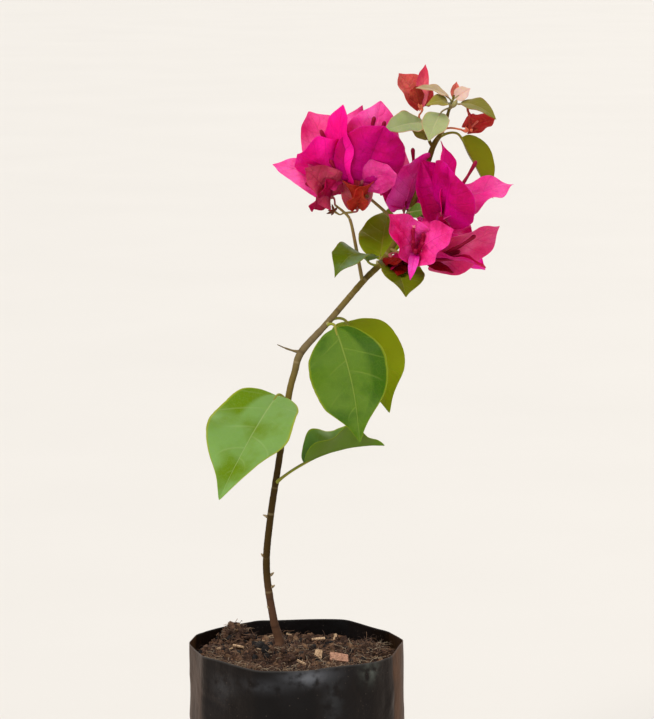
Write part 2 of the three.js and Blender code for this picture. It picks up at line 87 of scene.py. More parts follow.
# Clumps that the crumbs and fibres gather in: place, spread across and deep, least and most lift
CRUMB_HEAP = ((-41, 35), (5, 5), (0.3, 3))
CRUMB_LUMP = ((-3, -11), (5, 5), (0.3, 2))
FIBRE_HEAP = ((-40, 35), (5, 5), (0.3, 2.5))
FIBRE_LUMP = ((-2, -9), (6, 5), (0.2, 2))
FIBRE_SIDE = ((46, 6), (5, 9), (0.3, 5))
FIBRE_RIM = 56
STREWN_RADIUS = 59
CRUMB_COUNT, CHIP_COUNT, FIBRE_COUNT = 6000, 120, 1500
# Lumps of charcoal: place and half width. Chips laid one by one: place, lift, turn, half sizes and finish
CHARCOAL = [(-22, 4, 3.4), (-19, -2, 3.0), (-25, 11, 2.8), (-18, -8, 2.4), (10, 22, 2.2), (30, 8, 2.0)]
LAID_CHIPS = [
    ((13, -2), 3.6, (0.2, -1.2, 1.3), (3.6, 2.2, 0.5), 0),
    ((25.5, -8), 2.8, (0.7, 0.15, 0.1), (5.6, 2.8, 0.9), 2),
    ((3, -24), 2.4, (0.3, 0.5, 0.1), (3.0, 0.7, 0.4), 0),
    ((-36, 18), 2.2, (0.3, 0.2, 0.1), (3.6, 0.8, 0.4), 0),
    ((13, 38), 2.4, (0.5, -0.05, 0.1), (4.2, 0.9, 0.4), 0),
    ((-12, 30), 1.2, (0.1, 0.2, 0.6), (2.6, 0.7, 0.4), 1),
]

# Main stem, thorn, fork and flower twigs: x, y, z and radius where they bend
STEM_FOOT = (-11, 8, 159, 3.9)
STEM = [
    STEM_FOOT, (-11, 8, 163, 2.9), (-14.3, 6, 176, 2.4), (-18.4, 1.5, 208, 2.2), (-16, -3, 239, 2.1),
    (-10.5, -7, 276, 2.0), (-4.7, -8, 315, 2.0), (-1, -8, 330, 2.0), (3, -8, 342, 2.2),
    (18.3, -6, 359, 1.9), (40, -2, 384, 1.85), (50.6, 0, 394.6, 1.9), (60.7, 2, 410, 1.75),
    (73.2, 3, 439, 1.65), (81.4, 1.5, 464, 1.7), (86.7, 1, 473, 1.2), (91, 0.2, 487, 0.95),
]
THORN = [(3, -8, 342, 1.5), (-1, -8.2, 342.6, 0.8), (-6.5, -8.6, 344.4, 0.5), (-11.5, -9, 346.7, 0.15)]
SHORT_FORK = [(81.4, 1.5, 463.5, 1.1), (79, 0, 468, 0.95), (78.3, -1, 473.5, 0.75)]
STUBS = [
    [(-16.2, -3, 240, 1.3), (-18.6, -3.6, 241.4, 0.8), (-20.4, -4, 242.2, 0.25)],
    [(-18, 0.5, 215, 1.3), (-20.3, 0.2, 216.2, 0.9), (-21.6, 0, 217.6, 0.3)],
    [(-17.8, 2.5, 203, 1.2), (-15.4, 2, 204.2, 0.9), (-13.9, 1.6, 205.6, 0.3)],
    [(-17, 3.4, 196, 1.3), (-14.8, 2.4, 196.6, 0.9), (-13.4, 2, 197.6, 0.35)],
    [(-15.2, 5.2, 182, 1.4), (-16.9, 4, 183, 1.0), (-18, 3.4, 184.4, 0.3)],
]
LOW_TWIG = [(39.5, -2.1, 383.5, 1.2), (37, -4, 397, 1.1), (33.4, -7, 416, 0.95), (31.8, -8, 422, 0.9)]
HIGH_TWIG = [(63, 2.2, 414.5, 1.1), (53.4, -2, 425, 1.0), (46, -6, 432, 0.9), (40.5, -8.3, 437, 0.85)]
DRY_TWIG = [(28.2, -8.6, 425.6, 0.6), (26, -9, 424.6, 0.45), (23.4, -9, 426, 0.7), (22.4, -9, 426.6, 0.4)]
DRY_STAR = [(-1.2, -0.6, 4.4), (-4.4, 0.6, -1.6), (2.2, -1, 2.6), (-3.6, -2.2, 0.8), (-1.6, 1.8, -2.6)]

# Leaves: where the blade begins, how its midrib sets off, where its upper face looks (azimuth and
# rise), its length, half width, droop, fold and sway, where on the stem its stalk grows from, how
# deep its edge waves, where the first wave lies, and its tone
LEAVES = {
    "leaf_low_left": (
        (-11.5, -13, 316.4), (-117, -24), (-93, 64), 85, 27, 30, 18, -0.01,
        (-5.3, -8, 311), 0.09, -0.2, "green"),
    "leaf_mid_front": (
        (23.3, -11, 357.2), (-68, -60), (-110, 23), 73, 24.3, 4, 2, -0.04,
        (17, -6.1, 357.6), 0.08, 0.4, "deep green"),
    "leaf_mid_back": (
        (30, 2, 359), (50, -40), (80, 46), 68, 23, 49, 13, -0.02,
        (20, -5.7, 361), 0.05, -0.36, "bright olive"),
    "leaf_low_right": (
        (4.6, -14, 275.5), (33, 20), (-162, 69), 58, 17, 29, 50, 0,
        (-12.6, -5.5, 262), 0.16, -0.14, "blue green"),
    "leaf_twig": (
        (42.4, -5, 396.7), (-111, 43), (47, 45), 42, 13, 110, 10, 0,
        (49, -0.3, 393), 0.1, 0.3, "grey backed"),
    "leaf_back": (
        (50, 6, 396), (80, 49), (-100, 41), 44, 15, 20, 8, 0,
        (50.6, 0, 394.6), 0.08, 0.7, "olive"),
    "leaf_under": (
        (57.7, -2, 395.6), (-79, -20), (-50, 67), 42, 15, 6, 18, -0.02,
        (50, -0.1, 394), 0.05, 0.1, "shaded olive"),
    "leaf_small": (
        (67.6, -4, 425.4), (-45, 14), (-137, 23), 15, 4.6, 20, 10, 0,
        (67.4, 2.5, 425.5), 0.1, 0.5, "small green"),
    "leaf_high_right": (
        (98, 1, 469.6), (14, -61), (71, 17), 42, 15, 2, 62, 0,
        (85, 1.2, 470), 0.03, 0.2, "bronze"),
}
YOUNG_LEAVES = {
    "leaf_high_left": (
        (75.4, -3, 479), (-138, 1), (-76, 50), 30, 9, 22, 14, 0,
        (79, 0, 468), 0.1, 0.2, "downy green"),
    "leaf_high_front": (
        (85.6, -4, 484.4), (-114, -31), (-95, 42), 22, 8.4, 30, 10, 0,
        (92.3, 0, 487.5), 0.1, 0.6, "downy green"),
}
HIDDEN_LEAF = (
    (78.6, 0.5, 468.5), (165, 52), (-80, 30), 17, 5.5, 40, 10, 0,
    (80.6, 1.2, 463.5), 0.1, 0.2, "young olive")
TIP_STEM = [(90.9, 0.2, 486.6, 0.9), (92.5, 0, 491, 0.8), (93.6, 0, 495, 0.5)]
TIP_STALK_FROM = (92.3, 0, 490.5)
TIP_LEAVES = [
    ((90.6, -1, 493.2), (-145, 36), (-11, 40), 23, 5, 45, 14, 0, TIP_STALK_FROM, 0.1, 0.1, "beige"),
    ((90, -2, 490.3), (-113, 22), (-5, 37), 19, 4.6, 70, 14, 0, TIP_STALK_FROM, 0.1, 0.8, "young olive"),
    ((97.2, 0, 489.6), (-52, 10), (-166, 67), 30, 6.5, 55, 14, 0, TIP_STALK_FROM, 0.1, 0.5, "brown olive"),
    ((93, 0, 493.1), (50, 66), (-70, 20), 11, 3, 20, 20, 0, TIP_STALK_FROM, 0.1, 0.3, "young red"),
    ((94.2, 0, 493.1), (-10, 36), (-95, 20), 11, 4.4, 30, 10, 0, TIP_STALK_FROM, 0.1, 0.9, "pale pink"),
]
HAIRY_BUD = [
    (92.4, -0.5, 487.6, 0.5), (93.2, -2.6, 488.8, 1.3), (94.2, -3.6, 490.4, 1.5), (95.2, -4, 492.6, 0.3),
]
# The patch of a leaf that shows its own green, free of the clouds of painted pale sheen: the side of the
# midrib that it lies on, how far out it begins and how far along the blade it ends
LEAF_PATCHES = {
    "leaf_low_left": (1.0, 0.4, 0.42),
    "leaf_mid_front": (-1.0, 0.45, 0.8),
    "leaf_twig": (0.0, -0.5, 0.42),
}
NO_PATCH = (0.0, 1.0, 0.0)
LEAF_LOBE = 0.05
PETIOLE_RADIUS = 0.85
TIP_STALK_RADIUS = 0.5
STALK_STEPS = 6
GROWN_LEAF = 35

# Flower heads: base, axis, where the stalk comes from, and the bracts as turn about the axis, lean
# from it, length, half width, twist on the midrib, tone, and what sets the blade's form apart
BRACT_DROOP, BRACT_FOLD, BRACT_CUP, BRACT_CURL, BRACT_LOBE = 34, 14, 0.05, 0.15, 0.35
PEDICEL_RADIUS = 0.6
KNOB_RADIUS = 1.3
KNOB_REACH = 2.2
TUBE_LENGTH = 19.0
TUBE_RADIUS = 1.25

LEFT_TWIGS = [
    [(40, -8.5, 437.4, 0.8), (36, -9.5, 440.5, 0.8), (33, -10, 441, 0.7)],
    [(31.7, -8.1, 422.4, 0.85), (29, -8.6, 425.5, 0.8), (23, -9.6, 430.5, 0.65)],
    [(29, -8.6, 425.5, 0.75), (33.5, -8.3, 426, 0.65)],
]
LEFT_HEADS = [
    ((28.4, -11, 444.8), (-135, 61), (33, -10, 441), [
        (-170, 37, 48, 17, 0, "rose"), (-68, 33, 37, 19, 62, "bright magenta"),
        (117, 23, 47, 14.5, 14, "bright magenta", {"fold": 24, "cup": 0.0, "puff": 0.02, "wave": 0.16})]),
    ((39, -15, 445.2), (22, 74), (36, -9.5, 440.5), [
        (-175, 13, 51, 19, 0, "hot pink", {"fold": 4, "cup": 0.0, "puff": 0.0}),
        (8, 36, 42.5, 21, 0, "deep magenta", {"fold": 2, "cup": 0.28, "puff": 0.24, "wave": 0.05}),
        (58, 68, 24, 11.5, -48, "hot pink", {"fold": 6, "cup": 0.1, "puff": 0.1, "wave": 0.08})]),
    ((20.7, -10, 435.2), (-169, 29), (23, -9.6, 430.5), [
        (-176, 28, 42, 8.6, 0, "hot pink", {"sway": 0.11, "puff": 0.02}),
        (42, 27, 28, 12, 160, "pink faced", {"fold": 14, "cup": 0.4, "puff": 0.0}),
        (-16, 58, 20, 12, 0, "crimson")]),
    ((36.1, -8, 428.6), (-90, 81), (33.5, -8.3, 426), [
        (-58, 30, 21, 9, 0, "red"), (56, 34, 22, 9.5, 0, "red"), (178, 34, 27, 10, 0, "dusty pink")]),
    ((49.9, 6, 446.2), (63, 19), (36, -9.5, 440.5), [
        (-33, 5, 34, 15, 0, "rose"), (150, 54, 30, 13, 0, "magenta"), (-133, 46, 34, 15, 0, "purple")]),
    ((29, 2, 445.3), (103, 21), (33, -10, 441), [
        (-83, 17, 36, 16, 0, "magenta"), (52, 59, 46, 13, 0, "hot pink"), (177, 53, 34, 14, 0, "magenta")]),
]
MIDDLE_TWIGS = [[(67, 2.5, 424, 0.8), (64.5, 2, 422.8, 0.7)]]
MIDDLE_HEADS = [
    ((64.2, 2, 426.8), (90, 79), (64.5, 2, 422.8), [
        (54, 30, 38, 17, 0, "purple"), (-140, 61, 30, 14, 0, "magenta"), (-175, 40, 36, 14, 0, "purple")]),
]
RIGHT_TWIGS = [
    [(67, 2.6, 425, 0.9), (73, -3, 424, 0.85), (79, -9, 422, 0.75)],
    [(73, -3, 424, 0.8), (76.5, 7, 425, 0.7)],
    [(56, 1.2, 403, 0.95), (61, -5, 401.5, 0.9), (69, -9, 399.5, 0.8), (75, -9, 397, 0.7)],
    [(75, -9, 397, 0.75), (83, 2, 401, 0.7)],
]
RIGHT_HEADS = [
    ((86.4, -13, 426), (-9, 51), (79, -9, 422), [
        (-117, 44, 44, 12.5, 0, "bright magenta"),
        (-38, 45, 39, 21.5, 0, "deep magenta", {"fold": 0, "cup": 0.35, "puff": 0.26, "wave": 0.04}),
        (124, 37, 48, 15, 0, "hot pink"),
        (-86, 60, 35, 16, -52, "deep magenta",
          {"fold": 0, "cup": 0.3, "puff": 0.26, "wave": 0.06, "lobe": 0.5})]),
    ((78.4, -8, 398), (-13, 9), (75, -9, 397), [
        (-152, 30, 49, 13.5, 0, "dusty rose"), (39, 21, 39, 11.5, 40, "two faced"),
        (150, 45, 28, 8.5, 0, "deep crimson")]),
    ((70.4, -18, 402.7), (-86, 34), (69, -9, 399.5), [
        (109, 46, 31, 13.5, 0, "deep rose", {"puff": 0.2, "wave": 0.2}),
        (-123, 44, 32, 13, 0, "deep rose", {"puff": 0.2, "wave": 0.2}),
        (-5, 67, 26, 3.2, 0, "purple")]),
    ((56.4, -8, 399.2), (-63, -46), (61, -5, 401.5), [
        (-26, 18, 18, 8, 0, "dark red"), (-44, 52, 19, 8, 0, "dark red"), (24, 32, 15, 7, 0, "crimson")]),
    ((80.1, 14, 428), (84, 18), (76.5, 7, 425), [
        (-102, 19, 36, 16, 0, "magenta"), (80, 18, 36, 16, 0, "purple"), (158, 52, 36, 16, 0, "magenta")]),
    ((89.1, 10, 407.3), (72, -6), (83, 2, 401), [
        (122, 40, 34, 15, 0, "magenta"), (23, 53, 34, 8, 0, "purple"), (-128, 30, 36, 15, 0, "magenta")]),
]
HIGH_LEFT_TWIGS = [[(78.3, -1, 473.5, 0.6), (74, -1.8, 478.5, 0.6), (72.8, -2, 483, 0.6)]]
HIGH_LEFT_HEADS = [
    ((74, -2, 487.9), (-164, 68), (72.8, -2, 483), [
        (-153, 27, 25, 11.5, 16, "young red", {"fold": 12, "puff": 0.14, "wave": 0.06, "lobe": 0.3}),
        (135, 38, 27, 4.2, 40, "young pink"), (14, 20, 15, 5, 0, "dark young red")]),
]
HIGH_RIGHT_TWIGS = [[(87, 1, 474.5, 0.6), (92, -2, 475.5, 0.6), (98, -1.5, 474.5, 0.6)]]
HIGH_RIGHT_HEADS = [
    ((102.1, 1, 474.5), (-29, 50), (98, -1.5, 474.5), [
        (84, 29, 18.5, 7.6, -55, "young red", {"fold": 8, "lobe": 0.5}),
         (-85, 39, 14, 4, 0, "dark young red"),
        (180, 61, 13, 5, 0, "dark young red")]),
]

# Small unopened buds round the feet of the young heads, and pale flower mouths: place and reach
YOUNG_BUDS = [((73.4, -3, 487.4), 3.0), ((102.6, -1.5, 473.4), 3.4)]
PALE_MOUTHS = [
    ((74.5, -20, 404.5), 2.0), ((79.4, -16, 401), 1.6), ((66, -20, 404), 1.4), ((69.6, -22, 419), 1.2),
]
BUDS_EACH = 6

# Flower tubes that stand out of the heads: foot and tip
LONG_TUBES = [
    ((26, -13, 452), (14.5, -14, 475.4)), ((28, -12, 456), (21.8, -12, 474)),
    ((41, -13, 462), (46.3, -12, 483.1)), ((45, -13, 460), (52.5, -12, 480.4)),
    ((70.5, 4, 447), (69.1, -7, 463.9)), ((93, -14, 436), (106.6, -14, 457.1)),
    ((88, -12, 402), (106.4, -14, 412.8)), ((69.5, -22, 404), (69, -24, 418.1)),
    ((74, -20, 404), (75.2, -22, 415.2)),
]


def paint(red, green, blue, shade=1.0):
    """A colour mixed on the screen, as the light that it gives back, darkened by a shade."""
    def light(value):
        share = value / 255
        return share / 12.92 if share <= 0.04045 else ((share + 0.055) / 1.055) ** 2.4
    return (*(light(value) * shade for value in (red, green, blue)), 1.0)


# Bract tones: the deep and the light tone of the blade, and that of its hollow face where it differs.
# Each tone is a red, green and blue from 0 to 255 on the screen
BRACT_TONES = {
    "magenta": ((200, 0, 106), (224, 6, 136)),
    "bright magenta": ((236, 0, 124), (246, 20, 146)),
    "deep magenta": ((174, 0, 84), (208, 0, 132)),
    "hot pink": ((232, 44, 138), (246, 96, 168)),
    "rose": ((212, 26, 104), (236, 82, 148)),
    "deep rose": ((204, 0, 88), (242, 66, 158)),
    "dusty rose": ((220, 50, 116), (236, 100, 150)),
    "dusty pink": ((196, 80, 96), (222, 136, 140)),
    "crimson": ((140, 0, 44), (176, 6, 76)),
    "deep crimson": ((124, 0, 26), (156, 8, 46)),
    "two faced": ((184, 0, 96), (214, 14, 122), (158, 4, 34)),
    "pink faced": ((168, 0, 70), (196, 10, 90), (186, 66, 92)),
    "red": ((160, 30, 16), (196, 74, 50)),
    "dark red": ((116, 6, 2), (142, 28, 12)),
    "purple": ((246, 0, 156), (250, 90, 192)),
    "young red": ((168, 46, 40), (202, 92, 82)),
    "dark young red": ((146, 40, 28), (176, 70, 54)),
    "young pink": ((200, 60, 84), (222, 112, 120)),
}

# Leaf tones: the blade, its clouds, which paint the pale sheen of the sky on the blade, the ribs, the edge
# and the underside. On the grey backed leaf the blade is the pale one and its clouds are olive
LEAF_TONES = {
    "green": ((98, 124, 4), (118, 150, 76), (158, 174, 108), (150, 152, 44), (108, 122, 24)),
    "deep green": ((54, 86, 0), (84, 112, 20), (136, 152, 62), (126, 134, 24), (108, 122, 20)),
    "blue green": ((88, 108, 26), (106, 132, 72), (140, 154, 90), (140, 144, 40), (88, 108, 14)),
    "olive": ((118, 126, 0), (130, 142, 16), (158, 160, 60), (156, 146, 30), (112, 118, 6)),
    # A lighter copy of the olive, with light that shines through the blade from behind painted into it
    "bright olive": (
        (138, 144, 0), (148, 158, 18), (170, 170, 66), (160, 150, 30), (130, 134, 6)),
    "shaded olive": ((88, 90, 0), (98, 104, 8), (140, 138, 60), (130, 120, 30), (86, 86, 0)),
    "grey backed": (
        (108, 126, 96), (82, 96, 2), (120, 130, 66), (120, 112, 30), (82, 98, 16)),
    "small green": ((66, 98, 14), (104, 132, 60), (140, 156, 90), (116, 110, 40), (70, 100, 20)),
    "bronze": ((128, 106, 0), (112, 122, 4), (150, 140, 50), (124, 100, 6), (120, 106, 0)),
}
YOUNG_TONES = {
    "downy green": ((136, 148, 92), (160, 166, 116), (182, 182, 136), (206, 144, 118), (158, 158, 116)),
    "beige": ((168, 144, 104), (190, 160, 124), (196, 176, 140), (196, 128, 98), (180, 150, 112)),
    "young olive": ((130, 118, 30), (156, 142, 66), (172, 160, 96), (170, 120, 70), (150, 140, 70)),
    "brown olive": ((112, 90, 14), (120, 112, 44), (150, 132, 70), (150, 80, 40), (104, 84, 10)),
    "young red": ((190, 70, 60), (206, 104, 90), (180, 60, 50), (200, 90, 80), (190, 80, 66)),
    "pale pink": ((206, 164, 150), (222, 186, 176), (210, 150, 140), (214, 150, 140), (216, 176, 160)),
}


# Directions

def heading(azimuth, rise):
    """Unit direction of an azimuth from +X towards +Y and a rise above level, in degrees."""
    flat = math.cos(math.radians(rise))
    turn = math.radians(azimuth)
    return Vector((flat * math.cos(turn), flat * math.sin(turn), math.sin(math.radians(rise))))


def turned(direction, towards, angle):
    """One direction turned towards another that is square to it."""
    return direction * math.cos(angle) + towards * math.sin(angle)


def square_to(direction, other):
    """The part of a direction that is square to another one."""
    return (direction - other * direction.dot(other)).normalized()


def beside(way, turn):
    """Unit direction square to an axis, turned about it from the front by an angle in degrees."""
    front = square_to(Vector((0, -1, 0)), way)
    return turned(front, way.cross(front), math.radians(turn))


def eased(value):
    """A number held between 0 and 1 and eased at both ends."""
    held = min(max(value, 0.0), 1.0)
    return held * held * (3 - 2 * held)


# Node wiring, for shapes and finishes alike

class Flow:
    """A number, direction or mesh on its way through a node tree. Arithmetic on it adds maths nodes."""

    def __init__(self, tree, socket):
        self.tree = tree
        self.socket = socket

    def maths(self, operation, *others):
        return maths(self.tree, operation, self, *others)

    def __add__(self, other):
        return self.maths("ADD", other)

    def __sub__(self, other):
        return self.maths("SUBTRACT", other)

    def __mul__(self, other):
        return self.maths("MULTIPLY", other)

    def __truediv__(self, other):
        return self * (1 / other) if is_direction(self) else self.maths("DIVIDE", other)

    def __pow__(self, other):
        return self.maths("POWER", other)

    def __radd__(self, other):
        return maths(self.tree, "ADD", other, self)

    def __rsub__(self, other):
        return maths(self.tree, "SUBTRACT", other, self)

    def __rmul__(self, other):
        return maths(self.tree, "MULTIPLY", other, self)

    def __rtruediv__(self, other):
        return maths(self.tree, "DIVIDE", other, self)

    def __abs__(self):
        return self.maths("ABSOLUTE")


def is_direction(value):
    """True for three numbers in one, plain or flowing."""
    return isinstance(value, tuple) or isinstance(value, Flow) and value.socket.type in {"VECTOR", "RGBA"}


def feed(tree, socket, value):
    """Joins a flow to a socket, or writes a plain value on it."""
    if isinstance(value, Flow):
        tree.links.new(value.socket, socket)
    elif socket.type == "VECTOR" and isinstance(value, (int, float)):
        socket.default_value = (value, value, value)
    else:
        socket.default_value = value


def maths(tree, operation, *values):
    """One maths node on numbers or directions; a direction times a number scales it."""
    directions = [is_direction(value) for value in values]
    if not any(directions):
        node = tree.nodes.new("ShaderNodeMath")
        node.operation = operation
        for socket, value in zip(node.inputs, values):
            feed(tree, socket, value)
        return Flow(tree, node.outputs[0])
    node = tree.nodes.new("ShaderNodeVectorMath")
    if operation == "MULTIPLY" and not all(directions):
        node.operation = "SCALE"
        feed(tree, node.inputs[0], values[directions.index(True)])
        feed(tree, node.inputs["Scale"], values[directions.index(False)])
        return Flow(tree, node.outputs["Vector"])
    node.operation = operation
    for socket, value in zip(node.inputs, values):
        feed(tree, socket, value)
    return Flow(tree, node.outputs["Value" if operation in {"DOT_PRODUCT", "LENGTH"} else "Vector"])


def sine(value):
    return value.maths("SINE")


def cosine(value):
    return value.maths("COSINE")


def smooth(value):
    """Eases a flowing number from 0 to 1."""
    held = value.maths("MAXIMUM", 0).maths("MINIMUM", 1)
    return held * held * (3 - 2 * held)


def rise(value, start, steepness):
    """Eases from 0 to 1 as a flowing number climbs past its start."""
    return smooth((value - start) * steepness)


def bell(value):
    """1 where a number is 0, falling off on both sides."""
    return (value * value * -1).maths("EXPONENT")


class Wires:
    """A node tree while it is being wired."""

    def __init__(self, tree):
        self.tree = tree

    def add(self, kind, *values, **settings):
        """Adds a node with its settings, feeds its sockets in their order and returns it."""
        node = self.tree.nodes.new(kind)
        for name, value in settings.items():
            setattr(node, name, value)
        shown = [socket for socket in node.inputs if socket.enabled]
        for socket, value in zip(shown, values):
            if value is not None:
                feed(self.tree, socket, value)
        return node

    def flow(self, kind, *values, output=0, **settings):
        """Adds a node and gives back what flows out of it."""
        node = self.add(kind, *values, **settings)
        return Flow(self.tree, [socket for socket in node.outputs if socket.enabled][output])

    def parts(self, direction):
        """The three numbers of a direction."""
        node = self.add("ShaderNodeSeparateXYZ", direction)
        return [Flow(self.tree, socket) for socket in node.outputs]

    def joined(self, x, y, z):
        return self.flow("ShaderNodeCombineXYZ", x, y, z)

    def grain(self, place, scale, detail):
        """Soft random cloudiness from 0 to 1."""
        return self.flow("ShaderNodeTexNoise", place, scale, detail)


class ShapeWires(Wires):
    """A Geometry Nodes tree with named sizes as its inputs."""

    def __init__(self, name, **sizes):
        super().__init__(bpy.data.node_groups.new(name, "GeometryNodeTree"))
        sides = self.tree.interface
        sides.new_socket("Mesh", in_out="OUTPUT", socket_type="NodeSocketGeometry")
        sides.new_socket("Source", in_out="INPUT", socket_type="NodeSocketGeometry")
        for label, start in sizes.items():
            kind = "NodeSocketInt" if isinstance(start, int) else "NodeSocketFloat"
            sides.new_socket(label, in_out="INPUT", socket_type=kind).default_value = start
        self.entry = self.add("NodeGroupInput")
        self.exit = self.add("NodeGroupOutput")

    def size(self, label):
        return Flow(self.tree, self.entry.outputs[label])

    def read(self, name, kind="FLOAT"):
        return self.shape("InputNamedAttribute", name, data_type=kind)

    def store(self, mesh, name, value, kind="FLOAT"):
        return self.shape("StoreNamedAttribute", mesh, None, name, value, data_type=kind)

    def shape(self, kind, *values, **settings):
        return self.flow("GeometryNode" + kind, *values, **settings)

    def direction(self, name):
        return self.read(name, "FLOAT_VECTOR")

    def strewn(self, body):
        """Sets a body out on the source's points, each with its own turn and size."""
        turn = self.flow("FunctionNodeEulerToRotation", self.direction("turn"))
        size = self.direction("size")
        bodies = self.shape("InstanceOnPoints", self.size("Source"), None, body, None, None, turn, size)
        return self.shape("RealizeInstances", bodies)

    def dress(self, mesh, materials):
        """Gives each part the material that its tone counts to, and ends the tree."""
        tone = self.read("tone", "INT")
        for count, material in enumerate(materials):
            chosen = self.flow("FunctionNodeCompare", tone, count, data_type="INT", operation="EQUAL")
            mesh = self.shape("SetMaterial", mesh, chosen, material)
        feed(self.tree, self.exit.inputs[0], mesh)
        return self.tree


def point_source(name, points, edges=(), **columns):
    """A bare mesh of points and edges, in millimetres, each point carrying its own named values."""
    mesh = bpy.data.meshes.new(name)
    mesh.from_pydata([Vector(point) * MM for point in points], edges, [])
    for label, values in columns.items():
        if isinstance(values[0], int):
            mesh.attributes.new(label, "INT", "POINT").data.foreach_set("value", values)
        elif isinstance(values[0], float):
            mesh.attributes.new(label, "FLOAT", "POINT").data.foreach_set("value", values)
        else:
            flat = [number for value in values for number in value]
            mesh.attributes.new(label, "FLOAT_VECTOR", "POINT").data.foreach_set("vector", flat)
    return mesh


def grown(name, source, tree, **sizes):
    """Runs a shape tree on a source mesh and keeps the plain mesh that it makes."""
    piece = bpy.data.objects.new(name, source)
    bpy.context.scene.collection.objects.link(piece)
    modifier = piece.modifiers.new(tree.name, "NODES")
    modifier.node_group = tree
    for item in tree.interface.items_tree:
        if item.in_out == "INPUT" and item.name in sizes:
            modifier[item.identifier] = sizes[item.name]
    bpy.context.view_layer.update()
    mesh = bpy.data.meshes.new_from_object(piece.evaluated_get(bpy.context.evaluated_depsgraph_get()))
    piece.modifiers.clear()
    piece.data = mesh
    mesh.name = name
    return piece


# Shapes that follow a rule

VEIN_SLANT = 0.2
VEIN_WIDTH = 0.0016
LEAF_VEINS, BRACT_VEINS = 5, 6
WELD = 0.00001


def vein_distance(along, across, luck, count):
    """How far a point of a blade lies from the nearest side vein, as a share of the gap between two."""
    other_half = across.maths("GREATER_THAN", 0)
    step = (along - abs(across) ** 1.25 * VEIN_SLANT) * count + other_half * 0.45 + luck
    return abs(step.maths("FRACT") - 0.5) * 2


def blade_tree(name, materials):
    """Leaves or bracts from points: a midrib that bends away from the upper face, and two halves."""
    wires = ShapeWires(
        name, Rows=60, Columns=40, Thickness=0.0003, Belly=0.74, Fullness=0.85, Narrowing=0.5,
        NarrowFrom=0.62, Veins=LEAF_VEINS, VeinDepth=0.00012, RibRadius=0.0005,
        Crinkle=0.0004, CrinkleSize=0.012,
    )
    sheet = wires.shape("MeshCube", (1, 1, 1), wires.size("Columns"), wires.size("Rows"), 2)
    x, y, z = wires.parts(wires.shape("InputPosition"))
    wide = x * 2
    sheet = wires.store(sheet, "across", wide * (abs(wide) * 0.55 + 0.45))
    sheet = wires.store(sheet, "along", y + 0.5)
    sheet = wires.store(sheet, "face", z * 2)
    points = wires.store(wires.size("Source"), "base", wires.shape("InputPosition"), "FLOAT_VECTOR")
    blades = wires.shape("InstanceOnPoints", points, None, sheet)
    blades = wires.shape("RealizeInstances", blades)

    across, along, face, luck = [wires.read(label) for label in ("across", "along", "face", "luck")]
    base, start, upper = [wires.direction(label) for label in ("base", "start", "upper")]
    length, half, sway = wires.parts(wires.direction("size"))
    droop, fold, cup = wires.parts(wires.direction("bend"))
    curl, lobe, puff = wires.parts(wires.direction("form"))
    wave, phase, _ = wires.parts(wires.direction("waves"))
    side = start.maths("CROSS_PRODUCT", upper)
    swing = droop * along
    forward = start * cosine(swing) - upper * sine(swing)
    out = upper * cosine(swing) + start * sine(swing)
    reach = length / droop
    spine = base + start * (reach * sine(swing)) - upper * (reach * (1 - cosine(swing)))
    spine = spine + side * (sway * length * sine(along * math.pi))

    belly = sine(along ** wires.size("Belly") * math.pi).maths("MAXIMUM", 0) ** wires.size("Fullness")
    narrow = (along - wires.size("NarrowFrom")) / (1 - wires.size("NarrowFrom"))
    outline = belly * (1 - wires.size("Narrowing") * smooth(narrow))
    ragged = wires.grain(wires.joined(luck * 9, along * 5, across.maths("SIGN")), 1, 3) - 0.5
    width = half * outline * (1 + ragged * 0.14)
    bow = abs(across)
    raised = width * (bow * sine(fold) + bow ** 2 * cup - bow ** 4 * curl - sine(bow * math.pi) * puff)
    flat = wires.joined(across * width, along * length, luck)
    ripple = sine((along * 2.3 + phase + across.maths("SIGN") * 0.21) * math.tau)
    raised = raised + ripple * wave * half * bow ** 1.7 * outline ** 0.5
    crumple = wires.grain(flat / wires.size("CrinkleSize") + wires.joined(luck * 31, 0, 0), 1, 2) - 0.5
    raised = raised + crumple * wires.size("Crinkle") * 2 * outline ** 0.5

    count = wires.size("Veins")
    gap = length / count
    vein = bell(vein_distance(along, across, luck, count) * gap / VEIN_WIDTH) * (1 - bow * 0.7)
    midrib = bell(across * width / (wires.size("RibRadius") * 1.6))
    groove = vein.maths("MAXIMUM", midrib) * wires.size("VeinDepth") * smooth((1 - along) * 4)
    raised = raised - groove
    lobes = lobe * half * bow ** 2 * (1 - along) ** 3 * smooth(along / 0.05)
    rib = midrib * wires.size("RibRadius") * (1 - along) * face.maths("LESS_THAN", 0)
    skin = face * wires.size("Thickness") * 0.5 - rib
    place = spine + side * (width * across * cosine(fold)) + out * (raised + skin) - forward * lobes
    blades = wires.shape("SetPosition", blades, None, place)
    blades = wires.store(blades, "flat", flat, "FLOAT_VECTOR")
    blades = wires.shape("MergeByDistance", blades, None, WELD)
    blades = wires.shape("SetShadeSmooth", blades)
    return wires.dress(blades, materials)


